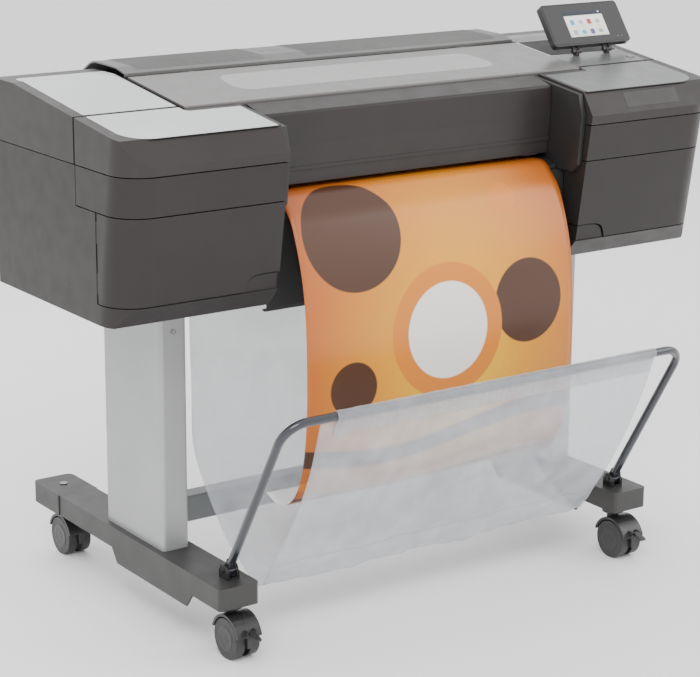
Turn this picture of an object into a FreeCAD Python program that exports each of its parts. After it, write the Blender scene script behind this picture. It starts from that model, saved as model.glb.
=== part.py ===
import FreeCAD, Part
import os
import Sketcher

# Large format plotter: a wide printer body on a wheeled stand with a fabric catch basket.
# Millimetres, +X to the right, +Y to the back, +Z up. The origin lies on the floor, under the
# middle of the whole object's box.

document = FreeCAD.newDocument("plotter")
sheet = document.addObject("Spreadsheet::Sheet", "sizes")

DRIVING = (
    ("body_width", 1317, "printer body, side to side"),
    ("opening_width", 680, "clear width between the end modules"),
    ("body_depth", 483, "printer body, brow to rear covers"),
    ("body_rear", 218, "rear covers, behind the origin"),
    ("under_height", 617, "underside of the body above the floor"),
    ("body_height", 375, "rear top of the body above its underside"),
    ("front_height", 326, "front end of the sloping top above the underside"),
    ("top_flat", 79, "length of the level top at the rear"),
    ("brow_run", 29, "length of the bevel above the front face"),
    ("brow_drop", 43, "height of the bevel above the front face"),
    ("face_lean", 37, "how far the front face leans back at its foot"),
    ("foot_rise", 37, "foot of the front face above the underside"),
    ("under_run", 33, "length of the bevel below the front face"),
    ("corner_radius", 60, "upright front corners of the body"),
    ("cover_wall", 3, "wall of the moulded covers"),
    ("lip_wall", 2.5, "wall of the lips behind the seams"),
    ("lip_reach", 7, "how far a lip reaches past its seam"),
    ("seam", 2, "open seam between fixed covers"),
    ("hinge_seam", 5, "open seam that holds a hinge"),
    ("lid_seam_height", 265, "seam under the lids above the underside"),
    ("door_seam_height", 195, "seam over the doors above the underside"),
    ("lid_split", 179, "hinge line of the lids behind the brow"),
    ("trim_split", 177, "rear end of the middle bands behind the brow"),
    ("door_split", 107, "hinge line of the doors behind the brow"),
    ("notch_width", 75, "finger notch at the foot of a door, side to side"),
    ("notch_height", 31, "finger notch at the foot of a door"),
    ("knuckle_radius", 2.2, "hinge knuckles"),
    ("knuckle_length", 12, "length of a hinge knuckle"),
    ("hinge_pin_radius", 0.9, "hinge pins"),
    ("running", 0.05, "radial clearance of a pin or shaft in its bore"),
    ("slack", 0.4, "clearance between sliding or neighbouring pieces"),
    ("knuckle_gap", 0.3, "end clearance between hinge knuckles"),
    ("window_width", 896, "top window, side to side"),
    ("window_front", 167, "front lip of the window behind the brow"),
    ("window_rear", 114, "rear edge of the window before the rear covers"),
    ("window_wall", 4, "thickness of the window"),
    ("window_raise", 3, "window surface above the covers"),
    ("window_lip", 14, "depth of the window's front lip"),
    ("bay_depth", 182, "roll bay, front wall to rear wall"),
    ("bay_behind", 72, "rear wall of the roll bay behind the rear covers"),
    ("bay_floor", 218, "floor of the roll bay above the underside"),
    ("bay_rear_height", 321, "top of the rear wall above the underside"),
    ("roll_height", 298, "roll axis above the underside"),
    ("roll_radius", 60, "paper roll"),
    ("core_radius", 26, "core of the paper roll"),
    ("spindle_radius", 10, "spindle shaft"),
    ("hub_radius", 45, "flanges on the spindle"),
    ("paper_width", 610, "roll and sheet, side to side"),
    ("paper_thickness", 0.4, "sheet"),
    ("paper_level", 188, "paper path above the underside"),
    ("column_width", 56, "stand column, side to side"),
    ("column_depth", 213, "stand column, front to back"),
    ("column_wall", 2.5, "wall of the stand tubes"),
    ("column_spread", 918, "between the centres of the columns"),
    ("column_centre", 41, "columns, behind the origin"),
    ("beam_height", 51, "crossbeam"),
    ("beam_depth", 40, "crossbeam"),
    ("beam_level", 152, "underside of the crossbeam above the floor"),
    ("foot_top", 141, "top of the feet above the floor"),
    ("foot_width", 82, "foot, side to side"),
    ("foot_front", 285, "front end of the feet before the origin"),
    ("foot_rear", 430, "rear end of the feet behind the origin"),
    ("foot_height", 41, "depth of a foot at its ends"),
    ("foot_belly", 68, "depth of a foot under its column"),
    ("end_cap_length", 111, "rear end cap of a foot"),
    ("end_cap_width", 86, "rear end cap, side to side"),
    ("swivel_inset_front", 42, "front caster stem behind the foot's front end"),
    ("swivel_inset_rear", 44, "rear caster stem before the foot's rear end"),
    ("caster_spread", 904, "between the left and right casters"),
    ("stem_radius", 5.5, "caster stem"),
    ("stem_length", 24, "caster stem in its socket"),
    ("wheel_radius", 37.5, "caster wheel"),
    ("wheel_width", 18, "one wheel of the pair"),
    ("wheel_gap", 12.5, "between the two wheels of a caster"),
    ("wheel_trail", 20, "wheel axle behind its stem"),
    ("axle_radius", 4, "caster axle"),
    ("bar_radius", 8, "tube of the basket bar"),
    ("bar_spread", 904, "between the legs of the basket bar"),
    ("bar_length", 362, "basket bar, pivot to top tube"),
    ("bar_bend", 46, "bends of the basket bar"),
    ("bar_tilt", 30.2, "basket bar, degrees forward of upright"),
    ("bar_pivot_y", 238, "basket pivot before the origin"),
    ("bar_pivot_rise", 16, "basket pivot above the feet"),
    ("pivot_radius", 4, "basket pivot pin"),
    ("eye_radius", 11, "flattened ends of the basket bar"),
    ("basket_width", 760, "fabric basket, side to side"),
    ("fabric", 2, "fabric"),
    ("screen_width", 200, "control screen"),
    ("screen_height", 94, "control screen"),
    ("screen_depth", 13, "control screen"),
    ("screen_tilt", 36, "control screen, degrees back from upright"),
    ("screen_centre", 551, "middle of the control screen right of the origin"),
    ("cartridge_width", 78, "ink cartridge"),
    ("cartridge_pitch", 90, "between neighbouring cartridges"),
    ("cartridge_height", 122, "ink cartridge"),
    ("cartridge_depth", 115, "ink cartridge"),
    ("feed_radius", 12, "feed roller"),
    ("pinch_radius", 5, "pinch roller"),
    ("roller_shaft", 3.5, "feed roller journal"),
    ("pinch_shaft", 2, "pinch roller journal"),
    ("carriage_width", 90, "printhead carriage"),
    ("carriage_park", 395, "parked carriage right of the origin"),
    ("rail_length", 1120, "carriage rail"),
    ("pulley_radius", 6, "belt pulley"),
    ("pulley_spread", 1090, "between the belt pulleys"),
)


class Size:
    """A number together with the expression that works it out from the spreadsheet."""

    def __init__(self, number, text):
        self.number = number
        self.text = text

    def __add__(self, other):
        return Size(self.number + number(other), f"({self.text} + {text(other)})")

    def __radd__(self, other):
        return Size(number(other) + self.number, f"({text(other)} + {self.text})")

    def __sub__(self, other):
        return Size(self.number - number(other), f"({self.text} - {text(other)})")

    def __rsub__(self, other):
        return Size(number(other) - self.number, f"({text(other)} - {self.text})")

    def __mul__(self, other):
        return Size(self.number * number(other), f"({self.text} * {text(other)})")

    __rmul__ = __mul__

    def __truediv__(self, other):
        return Size(self.number / number(other), f"({self.text} / {text(other)})")

    def __neg__(self):
        return Size(-self.number, f"(0 - {self.text})")


def number(value):
    return value.number if isinstance(value, Size) else float(value)


def text(value):
    return value.text if isinstance(value, Size) else f"({value})"


class Sizes:
    """The spreadsheet's values by name."""


SIZE = Sizes()
for row, (alias, value, meaning) in enumerate(DRIVING, start=1):
    sheet.set(f"A{row}", alias)
    sheet.set(f"B{row}", str(value))
    sheet.set(f"C{row}", meaning)
    sheet.setAlias(f"B{row}", alias)
    setattr(SIZE, alias, Size(value, f"sizes.{alias}"))
document.recompute()


# ---- building blocks -----------------------------------------------------------------------

def bind(item, path, value):
    """Set a property, and keep it tied to the spreadsheet when it comes from there."""
    target = item
    *parents, last = path.split(".")
    for parent in parents:
        target = getattr(target, parent)
    if not parents:
        setattr(target, last, number(value))
    if isinstance(value, Size):
        item.setExpression(path, value.text)


def place(item, x, y, z, rotation=None):
    base = FreeCAD.Vector(number(x), number(y), number(z))
    item.Placement = FreeCAD.Placement(base, rotation or FreeCAD.Rotation())
    for axis, value in zip("xyz", (x, y, z)):
        if isinstance(value, Size):
            item.setExpression(f"Placement.Base.{axis}", value.text)


def box(name, x, y, z):
    """A box between low and high values on each axis."""
    item = document.addObject("Part::Box", name)
    for length, (low, high) in zip(("Length", "Width", "Height"), (x, y, z)):
        bind(item, length, high - low)
    place(item, x[0], y[0], z[0])
    return item


AXIS_TURN = {
    "x": FreeCAD.Rotation(FreeCAD.Vector(0, 1, 0), 90),
    "y": FreeCAD.Rotation(FreeCAD.Vector(1, 0, 0), -90),
    "z": FreeCAD.Rotation(),
}


def cylinder(name, axis, start, length, radius):
    """A cylinder that runs along +x, +y or +z from its start point."""
    item = document.addObject("Part::Cylinder", name)
    bind(item, "Radius", radius)
    bind(item, "Height", length)
    place(item, *start, rotation=AXIS_TURN[axis])
    return item


def fuse(name, *parts):
    item = document.addObject("Part::MultiFuse", name)
    item.Shapes = list(parts)
    item.Refine = True
    return item


def cut(name, base, *tools):
    item = document.addObject("Part::Cut", name)
    item.Base = base
    item.Tool = tools[0] if len(tools) == 1 else fuse(name + "_tools", *tools)
    return item


def common(name, base, tool):
    item = document.addObject("Part::Common", name)
    item.Base = base
    item.Tool = tool
    return item


def outline_sketch(body, plane, outline, height):
    """A closed outline on one of the body's origin planes, every corner held by the sheet."""
    sketch = body.newObject("Sketcher::SketchObject", body.Name + "_outline")
    origin_plane = [item for item in body.Origin.OriginFeatures if item.Role == plane][0]
    sketch.AttachmentSupport = [(origin_plane, "")]
    sketch.MapMode = "FlatFace"
    sketch.AttachmentOffset = FreeCAD.Placement(
        FreeCAD.Vector(0, 0, number(height)), FreeCAD.Rotation())
    if isinstance(height, Size):
        sketch.setExpression("AttachmentOffset.Base.z", height.text)
    corners = [FreeCAD.Vector(number(a), number(b), 0) for a, b in outline]
    count = len(corners)
    for index in range(count):
        sketch.addGeometry(Part.LineSegment(corners[index], corners[(index + 1) % count]))
    for index in range(count):
        sketch.addConstraint(
            Sketcher.Constraint("Coincident", index, 2, (index + 1) % count, 1))
    for index, corner in enumerate(outline):
        for kind, value in zip(("DistanceX", "DistanceY"), corner):
            constraint = sketch.addConstraint(
                Sketcher.Constraint(kind, -1, 1, index, 1, number(value)))
            if isinstance(value, Size):
                sketch.setExpression(f"Constraints[{constraint}]", value.text)
    return sketch


def sketch_height(plane, low, high):
    """The XZ plane faces -Y, so a span along Y is drawn at its far end."""
    return -high if plane == "XZ_Plane" else low


def extrude(name, plane, outline, low, high):
    """A PartDesign body padded from an outline between two values along the plane's axis."""
    body = document.addObject("PartDesign::Body", name)
    body.AllowCompound = True
    sketch = outline_sketch(body, plane, outline, sketch_height(plane, low, high))
    pad = body.newObject("PartDesign::Pad", name + "_pad")
    pad.Profile = sketch
    bind(pad, "Length", high - low)
    document.recompute()
    return body


def carve(body, plane, outline, low, high):
    """A pocket through a body between two values along the plane's axis."""
    before = body.Shape.Volume
    sketch = outline_sketch(body, plane, outline, sketch_height(plane, low, high))
    pocket = body.newObject("PartDesign::Pocket", body.Name + "_pocket")
    pocket.Profile = sketch
    bind(pocket, "Length", high - low)
    pocket.Reversed = True
    document.recompute()
    if not body.Shape.Volume < before:
        raise RuntimeError(f"the pocket of {body.Label} cuts nothing")
    return body


def round_corners(body, axis, corners, radius):
    """Fillet the edges that run along an axis through the given corners of the outline."""
    solid = body.Tip
    shape = solid.Shape
    first, second = [item for item in "xyz" if item != axis]
    names = []
    for index, edge in enumerate(shape.Edges, start=1):
        ends = [vertex.Point for vertex in edge.Vertexes]
        for a, b in corners:
            if len(ends) == 2 and all(
                    abs(getattr(end, first) - number(a)) < 0.01
                    and abs(getattr(end, second) - number(b)) < 0.01 for end in ends):
                names.append(f"Edge{index}")
    fillet = body.newObject("PartDesign::Fillet", body.Name + "_fillet")
    fillet.Base = (solid, names)
    bind(fillet, "Radius", radius)
    document.recompute()
    return body


def rectangle(a, b):
    return [(a[0], b[0]), (a[1], b[0]), (a[1], b[1]), (a[0], b[1])]


def side_span(sign, near, far):
    """A span to the right of the middle, or its mirror image to the left."""
    return (near, far) if sign > 0 else (-far, -near)


def on_side(sign, value):
    return value if sign > 0 else -value


SIDES = (("left", -1), ("right", 1))
FAR = 2000

NODES = {}


def node(name, item):
    """Name a finished sub-part: its label is its file's name."""
    item.Label = name
    NODES[name] = item
    return item


# ---- levels and places that many sub-parts share ---------------------------------------------

base_z = SIZE.under_height
half_body = SIZE.body_width / 2
half_opening = SIZE.opening_width / 2
half_window = SIZE.window_width / 2
brow_y = SIZE.body_rear - SIZE.body_depth
brow_z = base_z + SIZE.front_height - SIZE.brow_drop
slope_front_y = brow_y + SIZE.brow_run
slope_front_z = base_z + SIZE.front_height
slope_rear_y = SIZE.body_rear - SIZE.top_flat
top_z = base_z + SIZE.body_height
face_foot_z = base_z + SIZE.foot_rise
lid_seam_z = base_z + SIZE.lid_seam_height
door_seam_z = base_z + SIZE.door_seam_height
lid_split_y = brow_y + SIZE.lid_split
trim_split_y = brow_y + SIZE.trim_split
door_split_y = brow_y + SIZE.door_split
half_seam = SIZE.seam / 2
half_hinge = SIZE.hinge_seam / 2
window_front_y = brow_y + SIZE.window_front
window_rear_y = SIZE.body_rear - SIZE.window_rear
bay_rear_y = SIZE.body_rear + SIZE.bay_behind
bay_front_y = bay_rear_y - SIZE.bay_depth
bay_floor_z = base_z + SIZE.bay_floor
bay_rear_z = base_z + SIZE.bay_rear_height
roll_y = bay_rear_y - 100
roll_z = base_z + SIZE.roll_height
paper_z = base_z + SIZE.paper_level
slope = (SIZE.body_height - SIZE.front_height) / (slope_rear_y - slope_front_y)


def top_at(y):
    """Height of the sloping top at a place between its ends."""
    return slope_front_z + (y - slope_front_y) * slope


# ---- hinges --------------------------------------------------------------------------------------

def hinge(name, axis, places, centre, parent_side):
    """Knuckles along an axis: two with a pin for the fixed part and a bored one between them.

    centre holds the two coordinates across the axis, and parent_side tells where the fixed part
    lies along the first or the second of them. It returns the fixed pieces, the moving pieces
    and the bore that is cut from the moving part."""
    half = SIZE.knuckle_length / 2
    web = half_hinge + 1
    web_half = SIZE.knuckle_radius / 2
    fixed, moving, bores = [], [], []

    def start(along):
        return (along, *centre) if axis == "x" else (*centre, along)

    def rod(label, low, length, radius):
        return cylinder(label, axis, start(low), length, radius)

    def plate(label, low, high, toward):
        spans = [(value - web_half, value + web_half) for value in centre]
        place_index, direction = toward
        value = centre[place_index]
        spans[place_index] = (value, value + web) if direction > 0 else (value - web, value)
        along = (low, high)
        return box(label, *((along, *spans) if axis == "x" else (*spans, along)))

    opposite = (parent_side[0], -parent_side[1])
    for index, middle in enumerate(places):
        tag = f"{name}_{index}"
        inner = half + SIZE.knuckle_gap
        outer = inner + SIZE.knuckle_length
        for end, low in (("low", middle - outer), ("high", middle + inner)):
            fixed.append(rod(f"{tag}_{end}_knuckle", low, SIZE.knuckle_length,
                             SIZE.knuckle_radius))
            fixed.append(plate(f"{tag}_{end}_web", low, low + SIZE.knuckle_length, parent_side))
        fixed.append(rod(tag + "_pin", middle - outer, outer * 2, SIZE.hinge_pin_radius))
        moving.append(rod(tag + "_eye", middle - half, SIZE.knuckle_length,
                          SIZE.knuckle_radius))
        moving.append(plate(tag + "_eye_web", middle - half, middle + half, opposite))
        bores.append(rod(tag + "_bore", middle - outer, outer * 2,
                         SIZE.hinge_pin_radius + SIZE.running))
    return fixed, moving, bores


# ---- end modules: one outer block, hollowed, and cut into its covers -----------------------------

def module_block(name, sign, inset):
    """The end module's outer form, moved inwards by an inset."""
    x_low, x_high = side_span(sign, half_opening + inset, half_body - inset)
    lean = SIZE.face_lean / (SIZE.front_height - SIZE.brow_drop - SIZE.foot_rise)
    high_z = top_z + 30
    low_z = base_z + inset
    front_high = brow_y + inset - (high_z - brow_z) * lean
    front_low = brow_y + inset + (brow_z - low_z) * lean
    rear = SIZE.body_rear - inset
    outline = [(rear, low_z), (rear, high_z), (front_high, high_z), (front_low, low_z)]
    body = extrude(name, "YZ_Plane", outline, x_low, x_high)
    outer_x = on_side(sign, half_body - inset)
    names = []
    solid = body.Tip
    for index, edge in enumerate(solid.Shape.Edges, start=1):
        ends = [vertex.Point for vertex in edge.Vertexes]
        upright = abs(ends[0].z - ends[-1].z) > 100
        outside = all(abs(end.x - number(outer_x)) < 0.01 for end in ends)
        ahead = all(end.y < 0 for end in ends)
        if upright and outside and ahead:
            names.append(f"Edge{index}")
    fillet = body.newObject("PartDesign::Fillet", name + "_corner")
    fillet.Base = (solid, names)
    bind(fillet, "Radius", SIZE.corner_radius - inset)
    document.recompute()
    above = [
        (rear + 20, top_z - inset), (slope_rear_y, top_z - inset),
        (slope_front_y, slope_front_z - inset), (brow_y, brow_z - inset),
        (brow_y - SIZE.brow_run, brow_z - inset - SIZE.brow_drop),
        (brow_y - SIZE.brow_run, high_z + 20), (rear + 20, high_z + 20),
    ]
    carve(body, "YZ_Plane", above, x_low - 1, x_high + 1)
    foot_y = brow_y + SIZE.face_lean + inset
    below = [
        (foot_y - SIZE.under_run, face_foot_z + SIZE.foot_rise),
        (foot_y + SIZE.under_run * 2, face_foot_z - SIZE.foot_rise * 2),
        (foot_y - SIZE.under_run, face_foot_z - SIZE.foot_rise * 2),
    ]
    carve(body, "YZ_Plane", below, x_low - 1, x_high + 1)
    return body


def door_notch(sign, gap, foot):
    """Outline of the S-curved notch at a door's lower inner corner, drawn in by a gap."""
    width = SIZE.notch_width - gap
    height = SIZE.notch_height - gap
    curve = [(0.46, 1), (0.66, 0.95), (0.79, 0.82), (0.87, 0.6), (0.92, 0.3), (0.96, 0)]
    outline = [(half_opening - 5, foot), (half_opening - 5, face_foot_z + height)]
    outline += [(half_opening + width * across, face_foot_z + height * up)
                for across, up in curve]
    outline.append((half_opening + width * 0.96, foot))
    return [(on_side(sign, x), z) for x, z in outline]


def module_covers(side, sign):
    """Side cover, middle band, rear cap, ink lid and ink door of one end module."""
    outer = module_block(f"module_{side}", sign, 0)
    inner = module_block(f"module_{side}_inside", sign, SIZE.cover_wall)
    lip_inset = SIZE.cover_wall + SIZE.lip_wall
    deepest = module_block(f"module_{side}_lip_inside", sign, lip_inset)
    shell = cut(f"shell_{side}", outer, inner)
    lips = cut(f"lips_{side}", inner, deepest)
    whole = side_span(sign, half_opening - 5, half_body + 5)
    front = brow_y - 60
    rear = SIZE.body_rear + 60

    # lid: the front of the top, down to the lid seam, notched for the window
    lid_rear = lid_split_y - half_hinge
    notch_y = window_front_y - SIZE.hinge_seam
    notch_x = half_window + SIZE.hinge_seam
    plan = [(half_opening - 5, front), (half_body + 5, front), (half_body + 5, lid_rear),
            (notch_x, lid_rear), (notch_x, notch_y), (half_opening - 5, notch_y)]
    plan = [(on_side(sign, x), y) for x, y in plan]
    region = extrude(f"lid_region_{side}", "XY_Plane", plan, lid_seam_z + half_seam,
                     top_z + 60)
    lid = common(f"lid_skin_{side}", shell, region)
    hinge_line = (lid_split_y, top_at(lid_split_y) - SIZE.cover_wall / 2)
    places = [on_side(sign, half_window + 45), on_side(sign, half_body - 50)]
    lid_fixed, lid_moving, lid_bores = hinge(f"lid_hinge_{side}", "x", places, hinge_line,
                                             (0, 1))
    lid = cut(f"lid_bored_{side}", fuse(f"lid_{side}", lid, *lid_moving), *lid_bores)
    node(f"ink_lid_{side}", lid)

    # door: the lower front, hung on the outer side
    region = box(f"door_region_{side}", whole, (front, door_split_y - half_hinge),
                 (face_foot_z + half_seam, door_seam_z - half_seam))
    notch = extrude(f"door_notch_{side}", "XZ_Plane", door_notch(sign, 0, face_foot_z - 5),
                    front, door_split_y + 5)
    door = cut(f"door_skin_{side}", common(f"door_blank_{side}", shell, region), notch)
    hinge_x = half_body - SIZE.knuckle_radius
    places = [face_foot_z + 35, door_seam_z - 35]
    door_line = (on_side(sign, hinge_x), door_split_y)
    door_fixed, door_moving, door_bores = hinge(f"door_hinge_{side}", "z", places, door_line,
                                                (1, 1))
    door = cut(f"door_bored_{side}", fuse(f"door_{side}", door, *door_moving), *door_bores)
    node(f"ink_door_{side}", door)

    # openings in the inner walls for the carriage, its rail and the rollers
    wall = side_span(sign, half_opening - 5, half_opening + 8)
    passages = [
        box(f"carriage_passage_{side}", wall, (carriage_front - 14, rail_front - 2),
            (paper_z + 2, lid_seam_z + 10)),
        box(f"rail_passage_{side}", wall, (rail_front - 3, rail_rear + 4),
            (belt_z - 6, lid_seam_z + 10)),
    ]
    start_x = on_side(sign, half_opening - 5) if sign > 0 else -(half_opening + 8)
    bores = [
        cylinder(f"feed_bore_{side}", "x", (start_x, feed_y, feed_z), 13,
                 SIZE.roller_shaft + SIZE.running),
        cylinder(f"pinch_bore_{side}", "x", (start_x, feed_y, pinch_z), 13,
                 SIZE.pinch_shaft + SIZE.running),
    ]

    # middle band between the two seams, with a lip behind the side cover
    band_z = (door_seam_z + half_seam, lid_seam_z - half_seam)
    region = box(f"band_region_{side}", whole, (front, trim_split_y - half_seam), band_z)
    lip_region = box(f"band_lip_region_{side}", whole,
                     (trim_split_y - 20, trim_split_y + SIZE.lip_reach), band_z)
    band = fuse(f"band_{side}", common(f"band_skin_{side}", shell, region),
                common(f"band_lip_{side}", lips, lip_region))
    node(f"middle_band_{side}", cut(f"band_open_{side}", band, passages[0]))

    # side cover: side wall, rear wall, underside and inner wall
    profile = [
        (rear, base_z - 5), (front, base_z - 5), (front, face_foot_z - half_seam),
        (door_split_y + half_hinge, face_foot_z - half_seam),
        (door_split_y + half_hinge, door_seam_z - half_seam),
        (trim_split_y + half_seam, door_seam_z - half_seam),
        (trim_split_y + half_seam, lid_seam_z - half_seam),
        (rear, lid_seam_z - half_seam),
    ]
    region = extrude(f"cover_region_{side}", "YZ_Plane", profile, *whole)
    insert = extrude(f"insert_region_{side}", "XZ_Plane",
                     door_notch(sign, SIZE.seam, face_foot_z - SIZE.lip_reach),
                     front, pan_front_y - SIZE.seam)
    insert_rear = extrude(f"insert_rear_region_{side}", "XZ_Plane",
                          door_notch(sign, SIZE.seam, face_foot_z + half_seam),
                          pan_front_y - SIZE.seam - 5,
                          door_split_y + half_hinge + SIZE.lip_reach)
    cover = fuse(f"cover_{side}", common(f"cover_skin_{side}", shell, region),
                 common(f"insert_{side}", lips, insert),
                 common(f"insert_rear_{side}", lips, insert_rear), *door_fixed)
    pan_clear = box(f"pan_clearance_{side}", side_span(sign, half_opening - 5, pan_half_x),
                    (pan_front_y, pan_rear_y), (pan_z, pan_z + pan_rim))
    bay_clear = box(f"bay_clearance_{side}", side_span(sign, half_opening - 5, bay_half_x),
                    (bay_front_y - 2, rear), (bay_floor_z - 2, top_z + 60))
    cover = cut(f"cover_open_{side}", cover, pan_clear, bay_clear, *passages, *bores)
    if sign > 0:
        sockets = (inlet_hole("inlet_hole"), switch_hole("switch_hole"))
        cover = cut("cover_right_sockets", cover, *sockets)
    node(f"side_cover_{side}", cover)

    # rear cap: the top behind the lid, with an inner wall beside the window and the roll bay
    cap_x = side_span(sign, half_window + SIZE.hinge_seam, half_body + 5)
    cap_y = (lid_split_y + half_hinge, rear)
    region = box(f"cap_region_{side}", cap_x, cap_y, (lid_seam_z + half_seam, top_z + 60))
    lip_region = box(
        f"cap_lip_region_{side}", cap_x, (lid_split_y + 12, rear),
        (lid_seam_z - SIZE.lip_reach, lid_seam_z + SIZE.lip_reach))
    inner_wall = box(
        f"cap_wall_region_{side}",
        side_span(sign, half_window + SIZE.hinge_seam,
                  half_window + SIZE.hinge_seam + SIZE.cover_wall),
        (lid_split_y + half_hinge, SIZE.body_rear), (lid_seam_z + half_seam, top_z + 60))
    cap = fuse(f"cap_{side}", common(f"cap_skin_{side}", shell, region),
               common(f"cap_lip_{side}", lips, lip_region),
               common(f"cap_wall_{side}", outer, inner_wall), *lid_fixed)
    if sign > 0:
        ears, holes = screen_ears()
        cap = cut("cap_holes", fuse("cap_with_ears", cap, *ears), *holes)
    node(f"rear_cap_{side}", cap)


# ---- the middle of the body -----------------------------------------------------------------------

pan_z = base_z + SIZE.cover_wall
pan_rim = 33
pan_half_x = half_body - SIZE.cover_wall * 2
pan_front_y = brow_y + SIZE.face_lean + SIZE.under_run + 20
pan_rear_y = SIZE.body_rear - SIZE.cover_wall
bay_half_x = half_window + SIZE.hinge_seam - SIZE.slack
carriage_front = brow_y + 185
rail_front = carriage_front + 76
rail_rear = rail_front + 30
belt_z = paper_z + 25
feed_y = carriage_front + 100
feed_z = paper_z - SIZE.feed_radius + 0.3
pinch_z = feed_z + SIZE.feed_radius + SIZE.paper_thickness + 0.4 + SIZE.pinch_radius


def cartridge_x(sign, index):
    return on_side(sign, half_opening + 55 + SIZE.cartridge_pitch * index)


cartridge_y = brow_y + 60
cartridge_z = pan_z + pan_rim + 12


def base_pan():
    """Folded steel pan that carries the works, with a shelf for the cartridges at each end."""
    wall = 2
    pan = extrude("pan", "XY_Plane", rectangle((-pan_half_x, pan_half_x),
                                               (pan_front_y, pan_rear_y)),
                  pan_z, pan_z + pan_rim)
    carve(pan, "XY_Plane", rectangle((-pan_half_x + wall, pan_half_x - wall),
                                     (pan_front_y + wall, pan_rear_y - wall)),
          pan_z + wall, pan_z + pan_rim + 1)
    shelves = []
    for side, sign in SIDES:
        x = side_span(sign, half_opening + 12, half_body - 25)
        y = (pan_front_y + wall, cartridge_y + SIZE.cartridge_depth)
        shelf = box(f"shelf_{side}", x, y, (pan_z + wall, cartridge_z - SIZE.slack))
        hollow = box(f"shelf_hollow_{side}", (x[0] + wall, x[1] - wall), (y[0] - 5, y[1] + 5),
                     (pan_z, cartridge_z - SIZE.slack - wall))
        shelves.append(cut(f"shelf_open_{side}", shelf, hollow))
    node("base_pan", fuse("pan_and_shelves", pan, *shelves))


def cartridges():
    """Six ink cartridges, three behind each door: a box with a grip ridge on its front."""
    for side, sign in SIDES:
        for index in range(3):
            x = cartridge_x(sign, index)
            half = SIZE.cartridge_width / 2
            y = (cartridge_y, cartridge_y + SIZE.cartridge_depth)
            body = extrude(
                f"cartridge_body_{side}_{index + 1}", "YZ_Plane",
                rectangle(y, (cartridge_z, cartridge_z + SIZE.cartridge_height)),
                x - half, x + half)
            round_corners(body, "x", [(y[0], cartridge_z + SIZE.cartridge_height),
                                      (y[0], cartridge_z)], 4)
            groove = (cartridge_z + 20, cartridge_z + SIZE.cartridge_height - 40)
            carve(body, "YZ_Plane", rectangle((y[0] - 1, y[0] + 5), groove),
                  x - half + 12, x + half - 12)
            node(f"ink_cartridge_{side}_{index + 1}", body)


def window():
    """Tinted top window with a short front lip, hung on its rear edge."""
    raise_by = SIZE.window_raise
    rear = window_rear_y - half_hinge
    front = window_front_y
    wall = SIZE.window_wall
    lip_z = top_at(front) + raise_by - SIZE.window_lip
    outline = [
        (rear, top_at(rear) + raise_by), (front, top_at(front) + raise_by), (front, lip_z),
        (front + wall, lip_z), (front + wall, top_at(front + wall) + raise_by - wall),
        (rear, top_at(rear) + raise_by - wall),
    ]
    pane = extrude("window_pane", "YZ_Plane", outline, -half_window, half_window)
    round_corners(pane, "x", [(front, top_at(front) + raise_by)], 3)
    centre = (window_rear_y, top_at(window_rear_y) + raise_by - wall / 2)
    places = [-half_window * 0.7, half_window * 0.7]
    fixed, moving, bores = hinge("window_hinge", "x", places, centre, (0, 1))
    node("top_window", cut("window_bored", fuse("window_hung", pane, *moving), *bores))
    return fixed


def roll_cover():
    """Curved cover over the roll bay, hung on the top of the bay's rear wall."""
    wall = SIZE.cover_wall
    front = bay_front_y + SIZE.hinge_seam
    front_z = top_z - SIZE.hinge_seam
    crest = top_z + 13
    foot = bay_rear_z + half_hinge
    outer = [(front, front_z), (front, front_z + 8), (front + 34, crest - 2),
             (bay_rear_y - 52, crest), (bay_rear_y, crest - 32), (bay_rear_y, foot)]
    inner = [(bay_rear_y - wall, foot), (bay_rear_y - wall, crest - 34),
             (bay_rear_y - 53, crest - wall), (front + 35, crest - 2 - wall),
             (front + wall, front_z + 6), (front + wall, front_z)]
    half = half_window - SIZE.slack
    cover = extrude("roll_cover_skin", "YZ_Plane", outer + inner, -half, half)
    round_corners(cover, "x", [outer[3], inner[2]], 60)
    round_corners(cover, "x", [outer[2], inner[3]], 40)
    round_corners(cover, "x", [outer[4], inner[1]], 20)
    centre = (bay_rear_y - wall / 2, bay_rear_z)
    places = [-half_window * 0.6, half_window * 0.6]
    fixed, moving, bores = hinge("roll_cover_hinge", "x", places, centre, (1, -1))
    node("roll_cover", cut("roll_cover_bored", fuse("roll_cover_hung", cover, *moving), *bores))
    return fixed


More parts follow.
